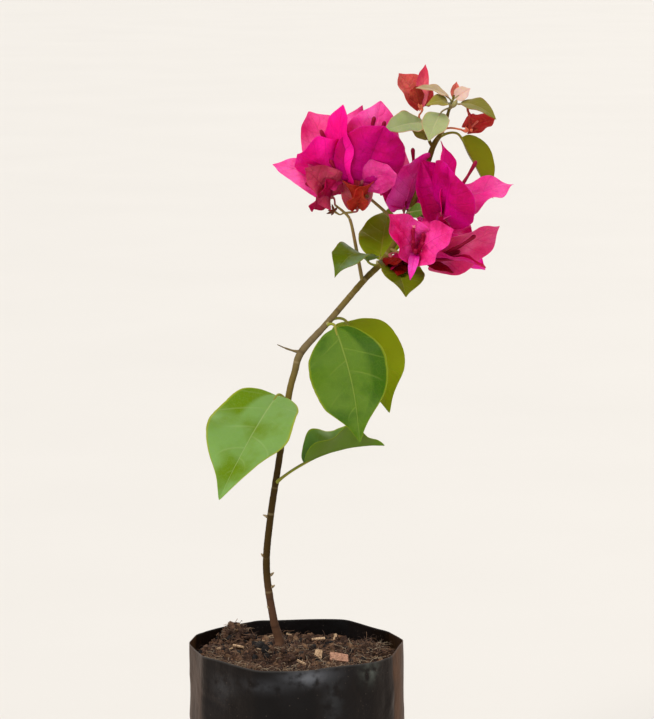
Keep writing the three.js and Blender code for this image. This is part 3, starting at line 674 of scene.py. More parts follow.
def limb_tree(name, materials):
    """Round tapering limbs along bare lines, with bark in relief along them."""
    wires = ShapeWires(name, Sides=10, Step=0.001, Relief=0.0001, Grain=0.002, Ribs=0, RibDepth=0.0)
    line = wires.shape("MeshToCurve", wires.size("Source"))
    line = wires.shape("CurveSplineType", line, spline_type="CATMULL_ROM")
    line = wires.shape("ResampleCurve", line, None, wires.size("Step"), mode="LENGTH")
    line = wires.store(line, "along_limb", wires.shape("SplineParameter", output=1))
    ring = wires.shape("CurvePrimitiveCircle", wires.size("Sides"), 1)
    ring = wires.store(ring, "turn", wires.shape("SplineParameter") * math.tau)
    limbs = wires.shape("CurveToMesh", line, ring, wires.read("radius"), True)
    limbs = wires.shape("RealizeInstances", limbs)
    turn, along, radius = wires.read("turn"), wires.read("along_limb"), wires.read("radius")
    around = wires.joined(cosine(turn) * radius, sine(turn) * radius, along * 0.3)
    limbs = wires.store(limbs, "bark", around, "FLOAT_VECTOR")
    bark = wires.direction("bark")
    rough = wires.grain(bark / wires.size("Grain"), 1, 3) - 0.5
    ribs = cosine(turn * wires.size("Ribs")) * wires.size("RibDepth") * radius
    normal = wires.shape("InputNormal")
    limbs = wires.shape("SetPosition", limbs, None, None, normal * (rough * wires.size("Relief") + ribs))
    limbs = wires.shape("SetShadeSmooth", limbs)
    return wires.dress(limbs, materials)


def lump_tree(name, materials, flat=False):
    """Crumbs or chips of soil: one small body on each point, turned, stretched and roughened."""
    wires = ShapeWires(name, Roughness=0.25, Grain=0.0016)
    if flat:
        body = wires.shape("MeshCube", (2, 2, 2), 4, 3, 2)
    else:
        body = wires.shape("MeshIcoSphere", 1, 1)
    lumps = wires.strewn(body)
    place = wires.shape("InputPosition")
    rough = wires.grain(place / wires.size("Grain"), 1, 2) - 0.5
    least = wires.parts(wires.direction("size"))[2]
    push = wires.shape("InputNormal") * (rough * least * wires.size("Roughness") * 4)
    lumps = wires.shape("SetPosition", lumps, None, None, push)
    return wires.dress(lumps, materials)


def fibre_tree(name, materials):
    """Curly fibres: a straight thread on each point, bent by a soft random field."""
    wires = ShapeWires(name, Curl=0.004, CurlSize=0.011, Points=11, Sides=3)
    thread = wires.shape("CurvePrimitiveLine", (-0.5, 0, 0), (0.5, 0, 0))
    thread = wires.shape("ResampleCurve", thread, None, wires.size("Points"))
    threads = wires.strewn(thread)
    place = wires.shape("InputPosition") / wires.size("CurlSize")
    shift = wires.joined(wires.read("luck") * 40, 0, 0)
    field = wires.flow("ShaderNodeTexNoise", place + shift, 1, 1, output=1)
    bend = (field - (0.5, 0.5, 0.5)) * wires.size("Curl") * 2
    threads = wires.shape("SetPosition", threads, None, None, bend)
    ring = wires.shape("CurvePrimitiveCircle", wires.size("Sides"), 1)
    threads = wires.shape("CurveToMesh", threads, ring, wires.read("stoutness"), True)
    threads = wires.shape("SetShadeSmooth", threads)
    return wires.dress(threads, materials)


# Finishes

class Finish(Wires):
    """A material while its surface is being mixed."""

    def __init__(self, name):
        self.material = bpy.data.materials.new(name)
        self.material.use_nodes = True
        super().__init__(self.material.node_tree)
        self.surface = self.tree.nodes["Principled BSDF"]

    def set(self, **levels):
        """Writes plain levels on the surface, or joins flows to it."""
        for label, value in levels.items():
            feed(self.tree, self.surface.inputs[label.replace("_", " ")], value)

    def value(self, name):
        return Flow(self.tree, self.add("ShaderNodeAttribute", attribute_name=name).outputs["Fac"])

    def direction(self, name):
        return Flow(self.tree, self.add("ShaderNodeAttribute", attribute_name=name).outputs["Vector"])

    def place(self):
        return Flow(self.tree, self.add("ShaderNodeTexCoord").outputs["Object"])

    def mix(self, share, under, over):
        return self.flow("ShaderNodeMix", share, under, over, data_type="RGBA")

    def begin(self, share, under, over):
        """The ground of the colour, mixed from two tones."""
        self.colour = self.mix(share, under, over)

    def lay(self, share, tone):
        """Lays a tone over the colour so far, by a share from 0 to 1."""
        self.colour = self.mix(share, self.colour, tone)

    def spots(self, place, scale, tightness, feature="F1"):
        """Small spots in the middle of each cell, or a net along the cells' edges."""
        cells = self.flow("ShaderNodeTexVoronoi", place, scale, feature=feature)
        return smooth(1.0 - cells * tightness)

    def done(self, relief, depth, strength, **levels):
        """Puts the colour, the plain levels and the fine relief on the surface."""
        self.set(Base_Color=self.colour, **levels)
        self.set(Normal=self.flow("ShaderNodeBump", strength, depth, None, relief))
        return self.material


NET = "DISTANCE_TO_EDGE"
LEAF_DEPTH = {"Subsurface_Scale": 0.0012, "Subsurface_Radius": (0.6, 1.0, 0.1)}
BRACT_DEPTH = {"Subsurface_Scale": 0.0012, "Subsurface_Radius": (1.0, 0.05, 0.5)}
STALK_DEPTH = {"Subsurface_Scale": 0.001, "Subsurface_Radius": (1.0, 0.5, 0.2)}


def leaf_finish(name, body, cloud, rib, rim, under, roughness=0.5, down=0.0):
    """Living leaf: soft paler clouds of painted sheen, kept off its patch, pale midrib, faint side veins,
    its own edge.
    """
    finish = Finish(name)
    body, cloud, rib, rim, under = [paint(*tone) for tone in (body, cloud, rib, rim, under)]
    flat, luck = finish.direction("flat"), finish.value("luck")
    along, across = finish.value("along"), finish.value("across")
    from_midrib = abs(finish.parts(flat)[0])
    clouds = finish.grain(flat + finish.joined(0, 0, luck * 3), 38, 3)
    patch_side, patch_from, patch_to = finish.parts(finish.direction("patch"))
    ragged = (clouds - 0.5) * 0.5
    patch = smooth((across * patch_side - patch_from + ragged) * 6) * smooth((patch_to - along + ragged) * 7)
    # Painted sheen: the clouds lay the sky's pale reflection over the blade, and its patch keeps its own
    # green
    finish.begin(rise(clouds, 0.3, 4) * (1.0 - patch), body, cloud)
    freckles = finish.grain(flat, 1300, 3)
    finish.lay(rise(freckles, 0.45, 4) * 0.16, cloud)
    shown = rise(finish.grain(flat, 60, 1), 0.36, 4) * smooth((0.86 - along) * 6)
    side_vein = smooth(1.0 - vein_distance(along, across, luck, LEAF_VEINS) * 7) * shown
    net = finish.spots(flat, 300, 14, NET)
    midrib = smooth(1.0 - from_midrib / ((1.12 - along) * 0.0008))
    finish.lay((side_vein * 0.24).maths("MAXIMUM", midrib * 0.62).maths("MAXIMUM", net * 0.06), rib)
    finish.lay(smooth((abs(across) - 0.93) / 0.05) * 0.85, rim)
    finish.lay(smooth(finish.value("face") * -4) * 0.85, under)
    return finish.done(
        freckles * 0.4 + net * 0.3 - side_vein, 0.00018, 0.45,
        Roughness=roughness, Subsurface_Weight=0.3, Specular_IOR_Level=0.09,
        Sheen_Weight=down, Sheen_Roughness=0.4, **LEAF_DEPTH,
    )


def bract_finish(name, deep, light, hollow=None):
    """Papery bract: deep, with lighter clouds and edge, darker veins, painted highlights and shade on its
    pleats, painted shade towards its foot, and another hollow face where its tone has one.
    """
    finish = Finish(name)
    dark, deep, light = paint(*deep, shade=0.6), paint(*deep), paint(*light)
    flat, luck = finish.direction("flat"), finish.value("luck")
    along, across = finish.value("along"), finish.value("across")
    x, y, _ = finish.parts(flat)
    clouds = finish.grain(flat + finish.joined(0, 0, luck * 5), 48, 3)
    finish.begin(rise(clouds, 0.36, 3), deep, light)
    if hollow:
        finish.lay(smooth(finish.value("face") * 4) * 0.9, paint(*hollow))
    pleats = finish.grain(finish.joined(x * 420, y * 130, luck * 7), 1, 3)
    # Painted highlights on the crests of the pleats, and painted shade in their troughs
    finish.lay(rise(pleats, 0.5, 5) * 0.3, light)
    finish.lay(smooth((0.44 - pleats) * 6) * 0.3, dark)
    side_vein = smooth(1.0 - vein_distance(along, across, luck, BRACT_VEINS) * 8)
    midrib = smooth(1.0 - abs(x) / ((1.2 - along) * 0.0006))
    net = finish.spots(flat, 420, 9, NET)
    finish.lay((side_vein * 0.26).maths("MAXIMUM", midrib * 0.5).maths("MAXIMUM", net * 0.14), dark)
    # Painted shade towards the foot of the bract, where it meets the head
    finish.lay(smooth(1 - along * 4) * 0.6, dark)
    finish.lay(smooth((abs(across) - 0.965) / 0.035) * 0.35, light)
    paper = finish.grain(flat, 1800, 2)
    return finish.done(
        net * 0.5 + paper * 0.25 + pleats * 1.6 - side_vein, 0.0003, 0.6,
        Roughness=0.6, Subsurface_Weight=0.4, Specular_IOR_Level=0.08, **BRACT_DEPTH,
    )


def bark_finish(name):
    """Young bark: rough at the foot, olive brown above, grey where it forks, with pale flecks along it."""
    finish = Finish(name)
    bark = finish.direction("bark")
    height = finish.parts(finish.place())[2]
    finish.begin(smooth((height - 0.18) / 0.03), paint(88, 60, 42), paint(62, 44, 6))
    finish.lay(smooth((height - 0.27) / 0.06), paint(108, 90, 28))
    finish.lay(bell((height - 0.35) / 0.022) * 0.75, paint(116, 100, 76))
    streaks = finish.grain(bark, 900, 4)
    finish.lay(rise(streaks, 0.5, 5) * 0.6, paint(88, 60, 42, shade=0.4))
    flecks = finish.spots(bark, 750, 3.4)
    finish.lay(flecks * 0.65, paint(150, 132, 96))
    scabs = finish.spots(bark, 210, 4.2) * smooth((0.27 - height) * 30)
    finish.lay(scabs * 0.7, paint(176, 162, 134))
    return finish.done(streaks + flecks * 0.6 + scabs, 0.0003, 0.8, Roughness=0.8, Specular_IOR_Level=0.18)


def stalk_finish(name, body, blush, down=0.12):
    """Soft stalks and tubes, flushed here and there, with fine down."""
    finish = Finish(name)
    bark = finish.direction("bark")
    finish.begin(rise(finish.grain(bark, 260, 3), 0.4, 3), paint(*body), paint(*blush))
    return finish.done(
        finish.grain(bark, 2600, 2), 0.0001, 0.5, Roughness=0.55, Subsurface_Weight=0.2,
        Sheen_Weight=down, Sheen_Roughness=0.4, Specular_IOR_Level=0.15, **STALK_DEPTH,
    )


# Painted sheen on the film, soft patches of reflected light: place, reach and tone
PAINTED_SHEEN_PATCHES = [
    ((8.3, -62.5, 156), (13, 30, 4.5), (96, 98, 103)),
    ((44, -50, 155), (5, 30, 6), (88, 93, 86)),
    ((-18, -60, 150), (14, 30, 4), (44, 45, 48)),
    ((22, -60, 141), (6, 30, 16), (40, 42, 44)),
    ((-44, -46, 146), (7, 30, 9), (40, 41, 43)),
]


def film_finish():
    """Thin black film: soft gloss, streaks that run down it, painted patches of sheen, a painted brown
    reflection on the side panels, dust and specks, and a painted highlight along the rim.
    """
    finish = Finish("black_film")
    place = finish.place()
    x, y, height = finish.parts(place)
    smudges = finish.grain(place, 30, 4)
    finish.begin(rise(smudges, 0.4, 3), paint(2, 2, 3), paint(11, 11, 13))
    # Painted reflections: each patch lays a soft sheen of light on the film
    for at, size, tone in PAINTED_SHEEN_PATCHES:
        apart = (place - tuple(number * MM for number in at)) * tuple(1 / (MM * number) for number in size)
        sheen_patch = (apart.maths("DOT_PRODUCT", apart) * -1).maths("EXPONENT")
        finish.lay(sheen_patch * rise(finish.grain(place, 150, 3), 0.3, 3) * 0.9, paint(*tone))
    side_panel = finish.value("side_panel")
    # Painted reflection: the side panels take a brown sheen of light glancing off the film
    panel_reflection = finish.mix(rise(finish.grain(place, 45, 4), 0.3, 3), paint(44, 28, 18), paint(92, 60, 40))
    finish.lay(side_panel, panel_reflection)
    dust = rise(finish.grain(place, 900, 3), 0.62, 9) * rise(finish.grain(place, 40, 2), 0.46, 5)
    finish.lay(dust * 0.3, paint(104, 88, 74))
    finish.lay(finish.spots(place, 230, 11) * 0.45, paint(120, 108, 96))
    # Painted highlight along the free rim
    finish.lay(finish.value("rim") * 0.4, paint(84, 82, 80))
    streaks = finish.grain(finish.joined(x * 240, y * 240, height * 45), 1, 4)
    crumple = finish.grain(place, 90, 5)
    return finish.done(
        crumple * 1.2 + streaks * 0.3, 0.0012, 0.6,
        Roughness=smooth(smudges) * 0.25 + 0.3 + dust * 0.3 + side_panel * 0.7, Specular_IOR_Level=0.14,
        Sheen_Weight=0.09, Sheen_Roughness=0.5, Sheen_Tint=paint(255, 176, 110),
    )


def earth_finish(name, dark, light, speck):
    """Potting soil: damp and dry crumbs mixed, with threads of coir."""
    finish = Finish(name)
    place = finish.place()
    clumps = finish.grain(place, 160, 5)
    finish.begin(rise(clumps, 0.4, 3.4), paint(*dark), paint(*light))
    finish.lay(rise(finish.grain(place, 1300, 3), 0.58, 8) * 0.6, paint(*speck))
    relief = clumps + finish.grain(place, 1900, 3) * 0.5
    return finish.done(relief, 0.0012, 0.9, Roughness=0.95, Specular_IOR_Level=0.2)


def chip_finish(name, body, dark):
    """Split bark, wood and coir, streaked along the grain."""
    finish = Finish(name)
    streaks = finish.grain(finish.place() * (1.0, 0.35, 1.6), 900, 4)
    finish.begin(rise(streaks, 0.4, 3.5), paint(*body), paint(*dark))
    return finish.done(streaks, 0.0004, 0.8, Roughness=0.85, Specular_IOR_Level=0.25)


def floor_finish():
    """Plain pale floor with a hardly seen cloudiness."""
    finish = Finish("pale_floor")
    finish.begin(finish.grain(finish.place(), 3, 3) * 0.4, paint(226, 222, 216), paint(214, 210, 204))
    finish.set(Base_Color=finish.colour, Roughness=0.8, Specular_IOR_Level=0.2)
    return finish.material


# The plant's pieces

SHARP_ANGLE = math.radians(62)


def keep(piece, slot, *nodes):
    """A finished piece rides on the plant and stands for its solids; the slot that it is given is not used.
    """
    piece.data.set_sharp_from_angle(angle=SHARP_ANGLE)
    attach(piece, "root")
    if nodes:
        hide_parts(*nodes)
    return piece


def blade_source(name, blades):
    """Points that carry the rule of each blade. Lengths come in millimetres, angles in degrees."""
    return point_source(
        name,
        [blade["base"] for blade in blades],
        start=[blade["start"] for blade in blades],
        upper=[blade["upper"] for blade in blades],
        size=[(blade["length"] * MM, blade["half"] * MM, blade["sway"]) for blade in blades],
        bend=[(math.radians(blade["droop"]), math.radians(blade["fold"]), blade["cup"]) for blade in blades],
        form=[(blade["curl"], blade["lobe"], blade["puff"]) for blade in blades],
        waves=[(blade["wave"], blade["phase"], 0.0) for blade in blades],
        patch=[blade.get("patch", NO_PATCH) for blade in blades],
        luck=[blade["luck"] for blade in blades],
        tone=[blade["tone"] for blade in blades],
    )


def leaf_blade(shape, luck, tones, patch=NO_PATCH):
    """A leaf stands as its row says."""
    at, starts, faces, length, half, droop, fold, sway, _, wave, phase, _ = shape
    start = heading(*starts)
    return {
        "base": at, "start": start, "upper": square_to(heading(*faces), start),
        "length": length, "half": half, "sway": sway, "droop": droop, "fold": fold, "cup": 0.0, "curl": 0.0,
        "lobe": LEAF_LOBE, "wave": wave, "phase": phase, "puff": 0.0, "patch": patch, "luck": luck,
        "tone": tones.index(shape[-1]),
    }


def stalk_knots(shape, radius):
    """A stalk that leaves its limb with a swollen foot and turns into the midrib."""
    at, starts, foot = Vector(shape[0]), shape[1], Vector(shape[8])
    start = heading(*starts)
    away = (at - foot).length
    bend = at - start * (away / 2)
    knots = []
    for step in range(STALK_STEPS + 1):
        share = step / STALK_STEPS
        point = foot * (1 - share) ** 2 + bend * (2 * share * (1 - share)) + at * share ** 2
        knots.append((*point, radius * (1 + 0.7 * (1 - share) ** 6)))
    knots.append((*(at + start * (2.5 * radius)), radius * 0.8))
    knots.append((*(at + start * (6 * radius)), radius * 0.4))
    return knots


def limb_source(name, limbs, tones=None):
    """Bare lines through the knots of each limb."""
    points, edges, radii, tone = [], [], [], []
    for count, knots in enumerate(limbs):
        first = len(points)
        edges += [(first + step, first + step + 1) for step in range(len(knots) - 1)]
        points += [knot[:3] for knot in knots]
        radii += [knot[3] * MM for knot in knots]
        tone += [tones[count] if tones else 0] * len(knots)
    return point_source(name, points, edges, radius=radii, tone=tone)


def bract_blade(at, way, row, luck, tones):
    """A bract stands off the head's axis as its row says, with its hollow face inwards."""
    turn, lean, length, half, twist, tone, *own = row
    draw = random.Random(luck)
    form = {
        "fold": BRACT_FOLD + draw.uniform(-5, 8), "cup": BRACT_CUP + draw.uniform(0, 0.25),
        "curl": BRACT_CURL, "puff": draw.uniform(0.04, 0.16), "wave": draw.uniform(0.08, 0.2),
    }
    form.update(own[0] if own else {})
    chord = turned(way, beside(way, turn), math.radians(lean))
    inner = square_to(way, chord)
    inner.rotate(Quaternion(chord, math.radians(twist)))
    swing = math.radians(BRACT_DROOP) / 2
    return {
        "base": at, "start": turned(chord, inner, swing), "upper": turned(inner, chord, -swing),
        "length": length, "half": half, "sway": 0.0, "droop": BRACT_DROOP, "lobe": BRACT_LOBE,
        "phase": luck * 3, "luck": luck, "tone": tones.index(tone), **form,
    }


def panel_radius(turn):
    """Radius of the flat panels of film between the creases, at an angle in degrees."""
    count = len(RIM_CREASES)
    first = max(range(count), key=lambda i: ((RIM_CREASES[i][0] - turn - 1e-9) % 360))
    start, radius = RIM_CREASES[first]
    stop, other = RIM_CREASES[(first + 1) % count]
    width = math.radians((stop - start) % 360)
    past = math.radians((turn - start) % 360)
    return radius * other * math.sin(width) / (radius * math.sin(past) + other * math.sin(width - past))


def panel_offset(turn, height):
    """How far the flat panels lie outside the round bag, less towards its foot."""
    share = FOOT_SHARE + (1 - FOOT_SHARE) * height / BAG_HEIGHT
    near = [turn - CREASE_SOFTNESS, turn, turn + CREASE_SOFTNESS]
    return share * (sum(panel_radius(angle) for angle in near) / 3 - BAG_RADIUS)


def rim_rise(turn):
    """The rim stands higher at the back, with a slight wave."""
    angle = math.radians(turn)
    return RIM_LIFT * (1 + math.sin(angle)) / 2 + RIM_WAVE * math.cos(5 * angle)


# Creases down the wall, by the foot and along the wall: how many, then the least and most of the
# angle round the bag, height, heading, length, width and depth
CREASE_KINDS = [
    (46, (-180, 180), (20, 158), (55, 125), (18, 60), (1.6, 3.4), (-0.8, 0.5)),
    (40, (-180, 180), (8, 40), (40, 140), (10, 28), (1.4, 2.6), (-0.7, 0.5)),
    (26, (-180, 180), (60, 150), (-35, 35), (14, 40), (1.8, 3.2), (-0.6, 0.4)),
]


def film_creases():
    """Seeded creases of the film: place on the unrolled wall, heading, length, width and depth."""
    draw = random.Random(7)
    return [
        tuple(draw.uniform(least, most) for least, most in spans)
        for count, *spans in CREASE_KINDS for _ in range(count)
    ]


def crease_depth(turn, height, creases):
    """How far the creases push the film out or in at a place."""
    total = 0.0
    for at, level, tilt, length, width, depth in creases:
        across = ((turn - at + 180) % 360 - 180) * math.radians(1) * BAG_RADIUS
        up = height - level
        if abs(across) > length or abs(up) > length:
            continue
        slope = math.radians(tilt)
        run = across * math.cos(slope) + up * math.sin(slope)
        off = up * math.cos(slope) - across * math.sin(slope)
        fade = max(0.0, 1 - (run / (length / 2)) ** 2)
        total += depth * fade * math.exp(-(off / width) ** 2)
    return max(-1.0, total)


def soil_height(x, y):
    """Height of the soil at a place: it falls away from the stem and is mounded against the film."""
    radius = math.hypot(x - STEM_FOOT[0], y - STEM_FOOT[1])
    slope = 1 - eased((radius - SEAT_RADIUS) / (HEAP_RADIUS - SEAT_RADIUS))
    calm = eased((radius - SEAT_RADIUS) / SEAT_RADIUS)
    mounded = sum(
        height * math.exp(-((x - at[0]) ** 2 + (y - at[1]) ** 2) / spread ** 2)
        for at, height, spread in MOUNDS
    )
    lumps = 1.5 * noise.noise(Vector((x, y, 3)) / 9) + 0.9 * noise.noise(Vector((x, y, 8)) / 3.6)
    lumps += 0.5 * noise.noise(Vector((x, y, 1)) / 1.7)
    return SOIL_LEVEL + (SEAT_LEVEL - SOIL_LEVEL) * slope + calm * (lumps + mounded * (1 - slope))


def ring_mesh(name, rings, columns, values):
    """A closed skin through rings of points, first and last drawn together to a point."""
    points = [rings[0][0]]
    for ring in rings[1:-1]:
        points += ring
    points.append(rings[-1][0])
    faces = []
    last = len(points) - 1
    for column in range(columns):
        beside = (column + 1) % columns
        faces.append((0, 1 + beside, 1 + column))
        for ring in range(len(rings) - 3):
            low = 1 + ring * columns
            high = low + columns
            faces.append((low + column, low + beside, high + beside, high + column))
        top = 1 + (len(rings) - 3) * columns
        faces.append((top + column, top + beside, last))
    mesh = bpy.data.meshes.new(name)
    mesh.from_pydata([Vector(point) * MM for point in points], [], faces)
    for label, value in values.items():
        mesh.attributes.new(label, "FLOAT", "POINT").data.foreach_set("value", [value(*p) for p in points])
    mesh.shade_smooth()
    piece = bpy.data.objects.new(name, mesh)
    bpy.context.scene.collection.objects.link(piece)
    return piece


# How far below the rim the rings inside the bag lie
INSIDE_DROPS = (0, 1, 3, 5, 7, 9, 12, 16)


def make_bag():
    """The filled bag of film 0.35 mm thick: flat floor, round lower edge, creased wall, and open free rim.
    """
    creases = film_creases()
    turns = [360 * column / BAG_COLUMNS - 180 for column in range(BAG_COLUMNS)]

    def ring(radius, height, rise=0.0, creased=1.0):
        points = []
        for turn in turns:
            angle = math.radians(turn)
            out = radius + panel_offset(turn, height) + creased * crease_depth(turn, height, creases)
            out += creased * FILLED_BELLY * math.sin(math.pi * height / BAG_HEIGHT)
            swell = noise.noise(Vector((math.cos(angle) * 2, math.sin(angle) * 2, height / 38)))
            out += creased * (FILM_SWELL * swell)
            points.append((out * math.cos(angle), out * math.sin(angle), height + rise * rim_rise(turn)))
        return points

    def lifted(height):
        """How far a ring follows the rim's own rise."""
        return eased((height - BAG_HEIGHT + RIM_CLIMB) / RIM_CLIMB)

    rings = [[(0, 0, 0)]]
    for radius in (20, 36, 46):
        rings.append(ring(radius, 0, creased=0))
    for step in range(9):
        angle = math.pi / 2 * step / 8
        radius = BAG_RADIUS - BAG_CORNER * (1 - math.sin(angle))
        rings.append(ring(radius, BAG_CORNER * (1 - math.cos(angle)), creased=step / 8))
    for row in range(1, BAG_ROWS + 1):
        height = BAG_CORNER + (BAG_HEIGHT - BAG_CORNER) * row / BAG_ROWS
        rings.append(ring(BAG_RADIUS, height, rise=lifted(height)))
    for drop in INSIDE_DROPS:
        height = BAG_HEIGHT - drop
        rings.append(ring(BAG_RADIUS - FILM, height, rise=lifted(height)))
    rings.append(ring(40, height, creased=0))
    rings.append([(0, 0, height)])

    def side_panel(x, y, z):
        """Where the side panels take a painted brown reflection and a rougher finish, most near the rim."""
        turn = math.degrees(math.atan2(y, x))
        inside = 0
        for start, stop in SIDE_PANELS:
            if (turn - start) % 360 < stop - start:
                inside = eased(min((turn - start) % 360, (stop - turn) % 360) / 3)
        share = PANEL_SHARE_LEFT if x < 0 else PANEL_SHARE_RIGHT
        if x > 0:
            share *= eased((10 - turn) / 24)
        return inside * share * eased((z - 30) / 110)

    def rim(x, y, z):
        """1 along the free rim."""
        return eased((z - BAG_HEIGHT - rim_rise(math.degrees(math.atan2(y, x))) + 0.5) / 0.4)

    piece = ring_mesh("nursery_bag", rings, BAG_COLUMNS, {"side_panel": side_panel, "rim": rim})
    piece.data.materials.append(film_finish())
    return keep(piece, "bag", "bag")


def make_soil():
    """Heaped potting soil, rough with clods, with a skirt that runs down inside the film."""
    turns = [360 * column / SOIL_COLUMNS - 180 for column in range(SOIL_COLUMNS)]

    def edge(turn, height):
        """Where the soil meets the film."""
        reach = SOIL_EDGE + panel_offset(turn, height)
        angle = math.radians(turn)
        return reach * math.cos(angle), reach * math.sin(angle)

    rings = [[(STEM_FOOT[0], STEM_FOOT[1], SEAT_LEVEL)]]
    for row in range(1, SOIL_ROWS + 1):
        share = row / SOIL_ROWS
        ring = []
        for turn in turns:
            outer = edge(turn, SOIL_LEVEL)
            x, y = (share * outer[side] + (1 - share) * STEM_FOOT[side] for side in (0, 1))
            ring.append((x, y, soil_height(x, y)))
        rings.append(ring)
    for height in SKIRT_LEVELS:
        rings.append([(*edge(turn, height), min(height, rings[SOIL_ROWS][0][2])) for turn in turns])
    rings.append([(0, 0, SOIL_UNDERSIDE)])
    rings.reverse()
    piece = ring_mesh("potting_soil", rings, SOIL_COLUMNS, {})
    piece.data.materials.append(earth_finish("damp_soil", (44, 31, 25), (92, 66, 50), (128, 92, 64)))
    return keep(piece, "soil", "soil")


def on_soil(draw):
    """A random place on the soil, clear of the stem and the film."""
    while True:
        angle, radius = draw.uniform(-math.pi, math.pi), STREWN_RADIUS * math.sqrt(draw.random())
        x, y = radius * math.cos(angle), radius * math.sin(angle)
        room = SOIL_EDGE + panel_offset(math.degrees(angle), SOIL_LEVEL) - 1.5
        if radius < room and math.hypot(x - STEM_FOOT[0], y - STEM_FOOT[1]) > 4.5:
            return x, y


def held_in(x, y, reach):
    """A place drawn in towards the middle until what stands on it clears the film."""
    radius = max(math.hypot(x, y), 0.1)
    room = SOIL_EDGE + panel_offset(math.degrees(math.atan2(y, x)), SOIL_LEVEL) - reach
    return (x * room / radius, y * room / radius) if radius > room else (x, y)


def clumped(draw, at, spread, lifts):
    """A random place and lift in a clump."""
    return at[0] + draw.gauss(0, spread[0]), at[1] + draw.gauss(0, spread[1]), draw.uniform(*lifts)


class Litter:
    """Small loose bodies while they are strewn on the soil."""

    def __init__(self):
        self.points = []
        self.columns = {}

    def put(self, x, y, lift, **values):
        """Lays one body at a place, a little above the soil, with its own values."""
        self.points.append((x, y, soil_height(x, y) + lift))
        for label, value in values.items():
            self.columns.setdefault(label, []).append(value)

    def kept(self, name, tree, **sizes):
        """Grows the bodies with a shape tree and keeps them as a piece of the soil."""
        return keep(grown(name, point_source(name, self.points, **self.columns), tree, **sizes), "soil")


def make_crumbs():
    """Loose crumbs of soil and charcoal on the heap."""
    draw = random.Random(11)
    litter = Litter()
    for count in range(CRUMB_COUNT):
        x, y = on_soil(draw)
        across = draw.uniform(0.35, 0.8) if draw.random() < 0.86 else draw.uniform(0.9, 2.1)
        lift = across * 0.25
        if count % 12 == 0:
            x, y, lift = clumped(draw, *CRUMB_HEAP)
            x, y = held_in(x, y, 2)
        elif count % 20 == 1:
            x, y, lift = clumped(draw, *CRUMB_LUMP)
        litter.put(
            x, y, lift,
            turn=tuple(draw.uniform(0, math.tau) for _ in range(3)),
            size=tuple(across * MM * draw.uniform(0.6, 1.5) for _ in range(3)),
            tone=draw.choice((0, 0, 0, 0, 1, 2)),
        )
    for x, y, across in CHARCOAL:
        size = (across * MM, across * 1.2 * MM, across * 0.9 * MM)
        litter.put(x, y, 1.4, turn=(0.4, 0.2, x), size=size, tone=2)
    finishes = [
        earth_finish("brown_crumbs", (58, 40, 32), (104, 76, 58), (140, 104, 74)),
        earth_finish("light_crumbs", (92, 66, 48), (140, 108, 80), (166, 130, 96)),
        earth_finish("charcoal_crumbs", (26, 24, 24), (50, 46, 44), (80, 70, 62)),
    ]
    return litter.kept("soil_crumbs", lump_tree("crumbs", finishes), Roughness=0.5)


def make_chips():
    """Flat chips of bark and wood, a few of them large and pale near the front."""
    draw = random.Random(23)
    litter = Litter()
    for _ in range(CHIP_COUNT):
        x, y = on_soil(draw)
        litter.put(
            x, y, 0.5,
            turn=(draw.uniform(-0.7, 0.7), draw.uniform(-0.7, 0.7), draw.uniform(0, math.tau)),
            size=(draw.uniform(1.2, 3.4) * MM, draw.uniform(0.5, 1.4) * MM, draw.uniform(0.25, 0.5) * MM),
            tone=draw.choice((0, 1, 1, 1, 1)),
        )
    for (x, y), lift, angles, half, finish in LAID_CHIPS:
        litter.put(x, y, lift, turn=angles, size=tuple(number * MM for number in half), tone=finish)
    finishes = [
        chip_finish("pale_chips", (206, 172, 136), (150, 118, 88)),
        chip_finish("brown_chips", (124, 88, 62), (72, 50, 38)),
        chip_finish("tan_chips", (190, 142, 116), (140, 98, 78)),
    ]
    return litter.kept("bark_chips", lump_tree("chips", finishes, flat=True), Roughness=0.5, Grain=0.003)


def make_fibres():
    """Coir threads and fine roots that curl over the soil."""
    draw = random.Random(31)
    litter = Litter()
    for count in range(FIBRE_COUNT):
        x, y = on_soil(draw)
        lift = draw.uniform(0.2, 1.6)
        tilt = draw.uniform(-0.35, 0.35)
        clump = count % 10
        if count % 16 == 0:
            x, y, lift = clumped(draw, *FIBRE_HEAP)
        elif clump == 1:
            x, y, lift = clumped(draw, *FIBRE_LUMP)
        elif clump == 2:
            x, y, lift = clumped(draw, *FIBRE_SIDE)
        elif clump < 6:
            angle = math.radians(draw.uniform(-165, -45))
            x, y, lift = FIBRE_RIM * math.cos(angle), FIBRE_RIM * math.sin(angle), draw.uniform(1, 7)
            tilt = draw.uniform(-0.6, 0.6)
        course = draw.uniform(0, math.tau)
        length = draw.uniform(5, 15)
        outward = abs(math.cos(course - math.atan2(y, x)))
        x, y = held_in(x, y, 0.5 * length * outward + 3)
        if math.hypot(x - STEM_FOOT[0], y - STEM_FOOT[1]) < 4:
            continue
        litter.put(
            x, y, lift, turn=(0.0, tilt, course), size=(length * MM, length * MM, length * MM),
            luck=draw.random(), stoutness=draw.uniform(0.08, 0.2) * MM, tone=draw.choice((0, 0, 0, 1, 1, 2)),
        )
    finishes = [
        chip_finish("brown_coir", (80, 58, 46), (50, 36, 30)),
        chip_finish("tan_coir", (132, 100, 76), (90, 66, 52)),
        chip_finish("grey_roots", (166, 146, 120), (116, 100, 84)),
    ]
    return litter.kept("soil_fibres", fibre_tree("fibres", finishes), Curl=0.006, CurlSize=0.008)


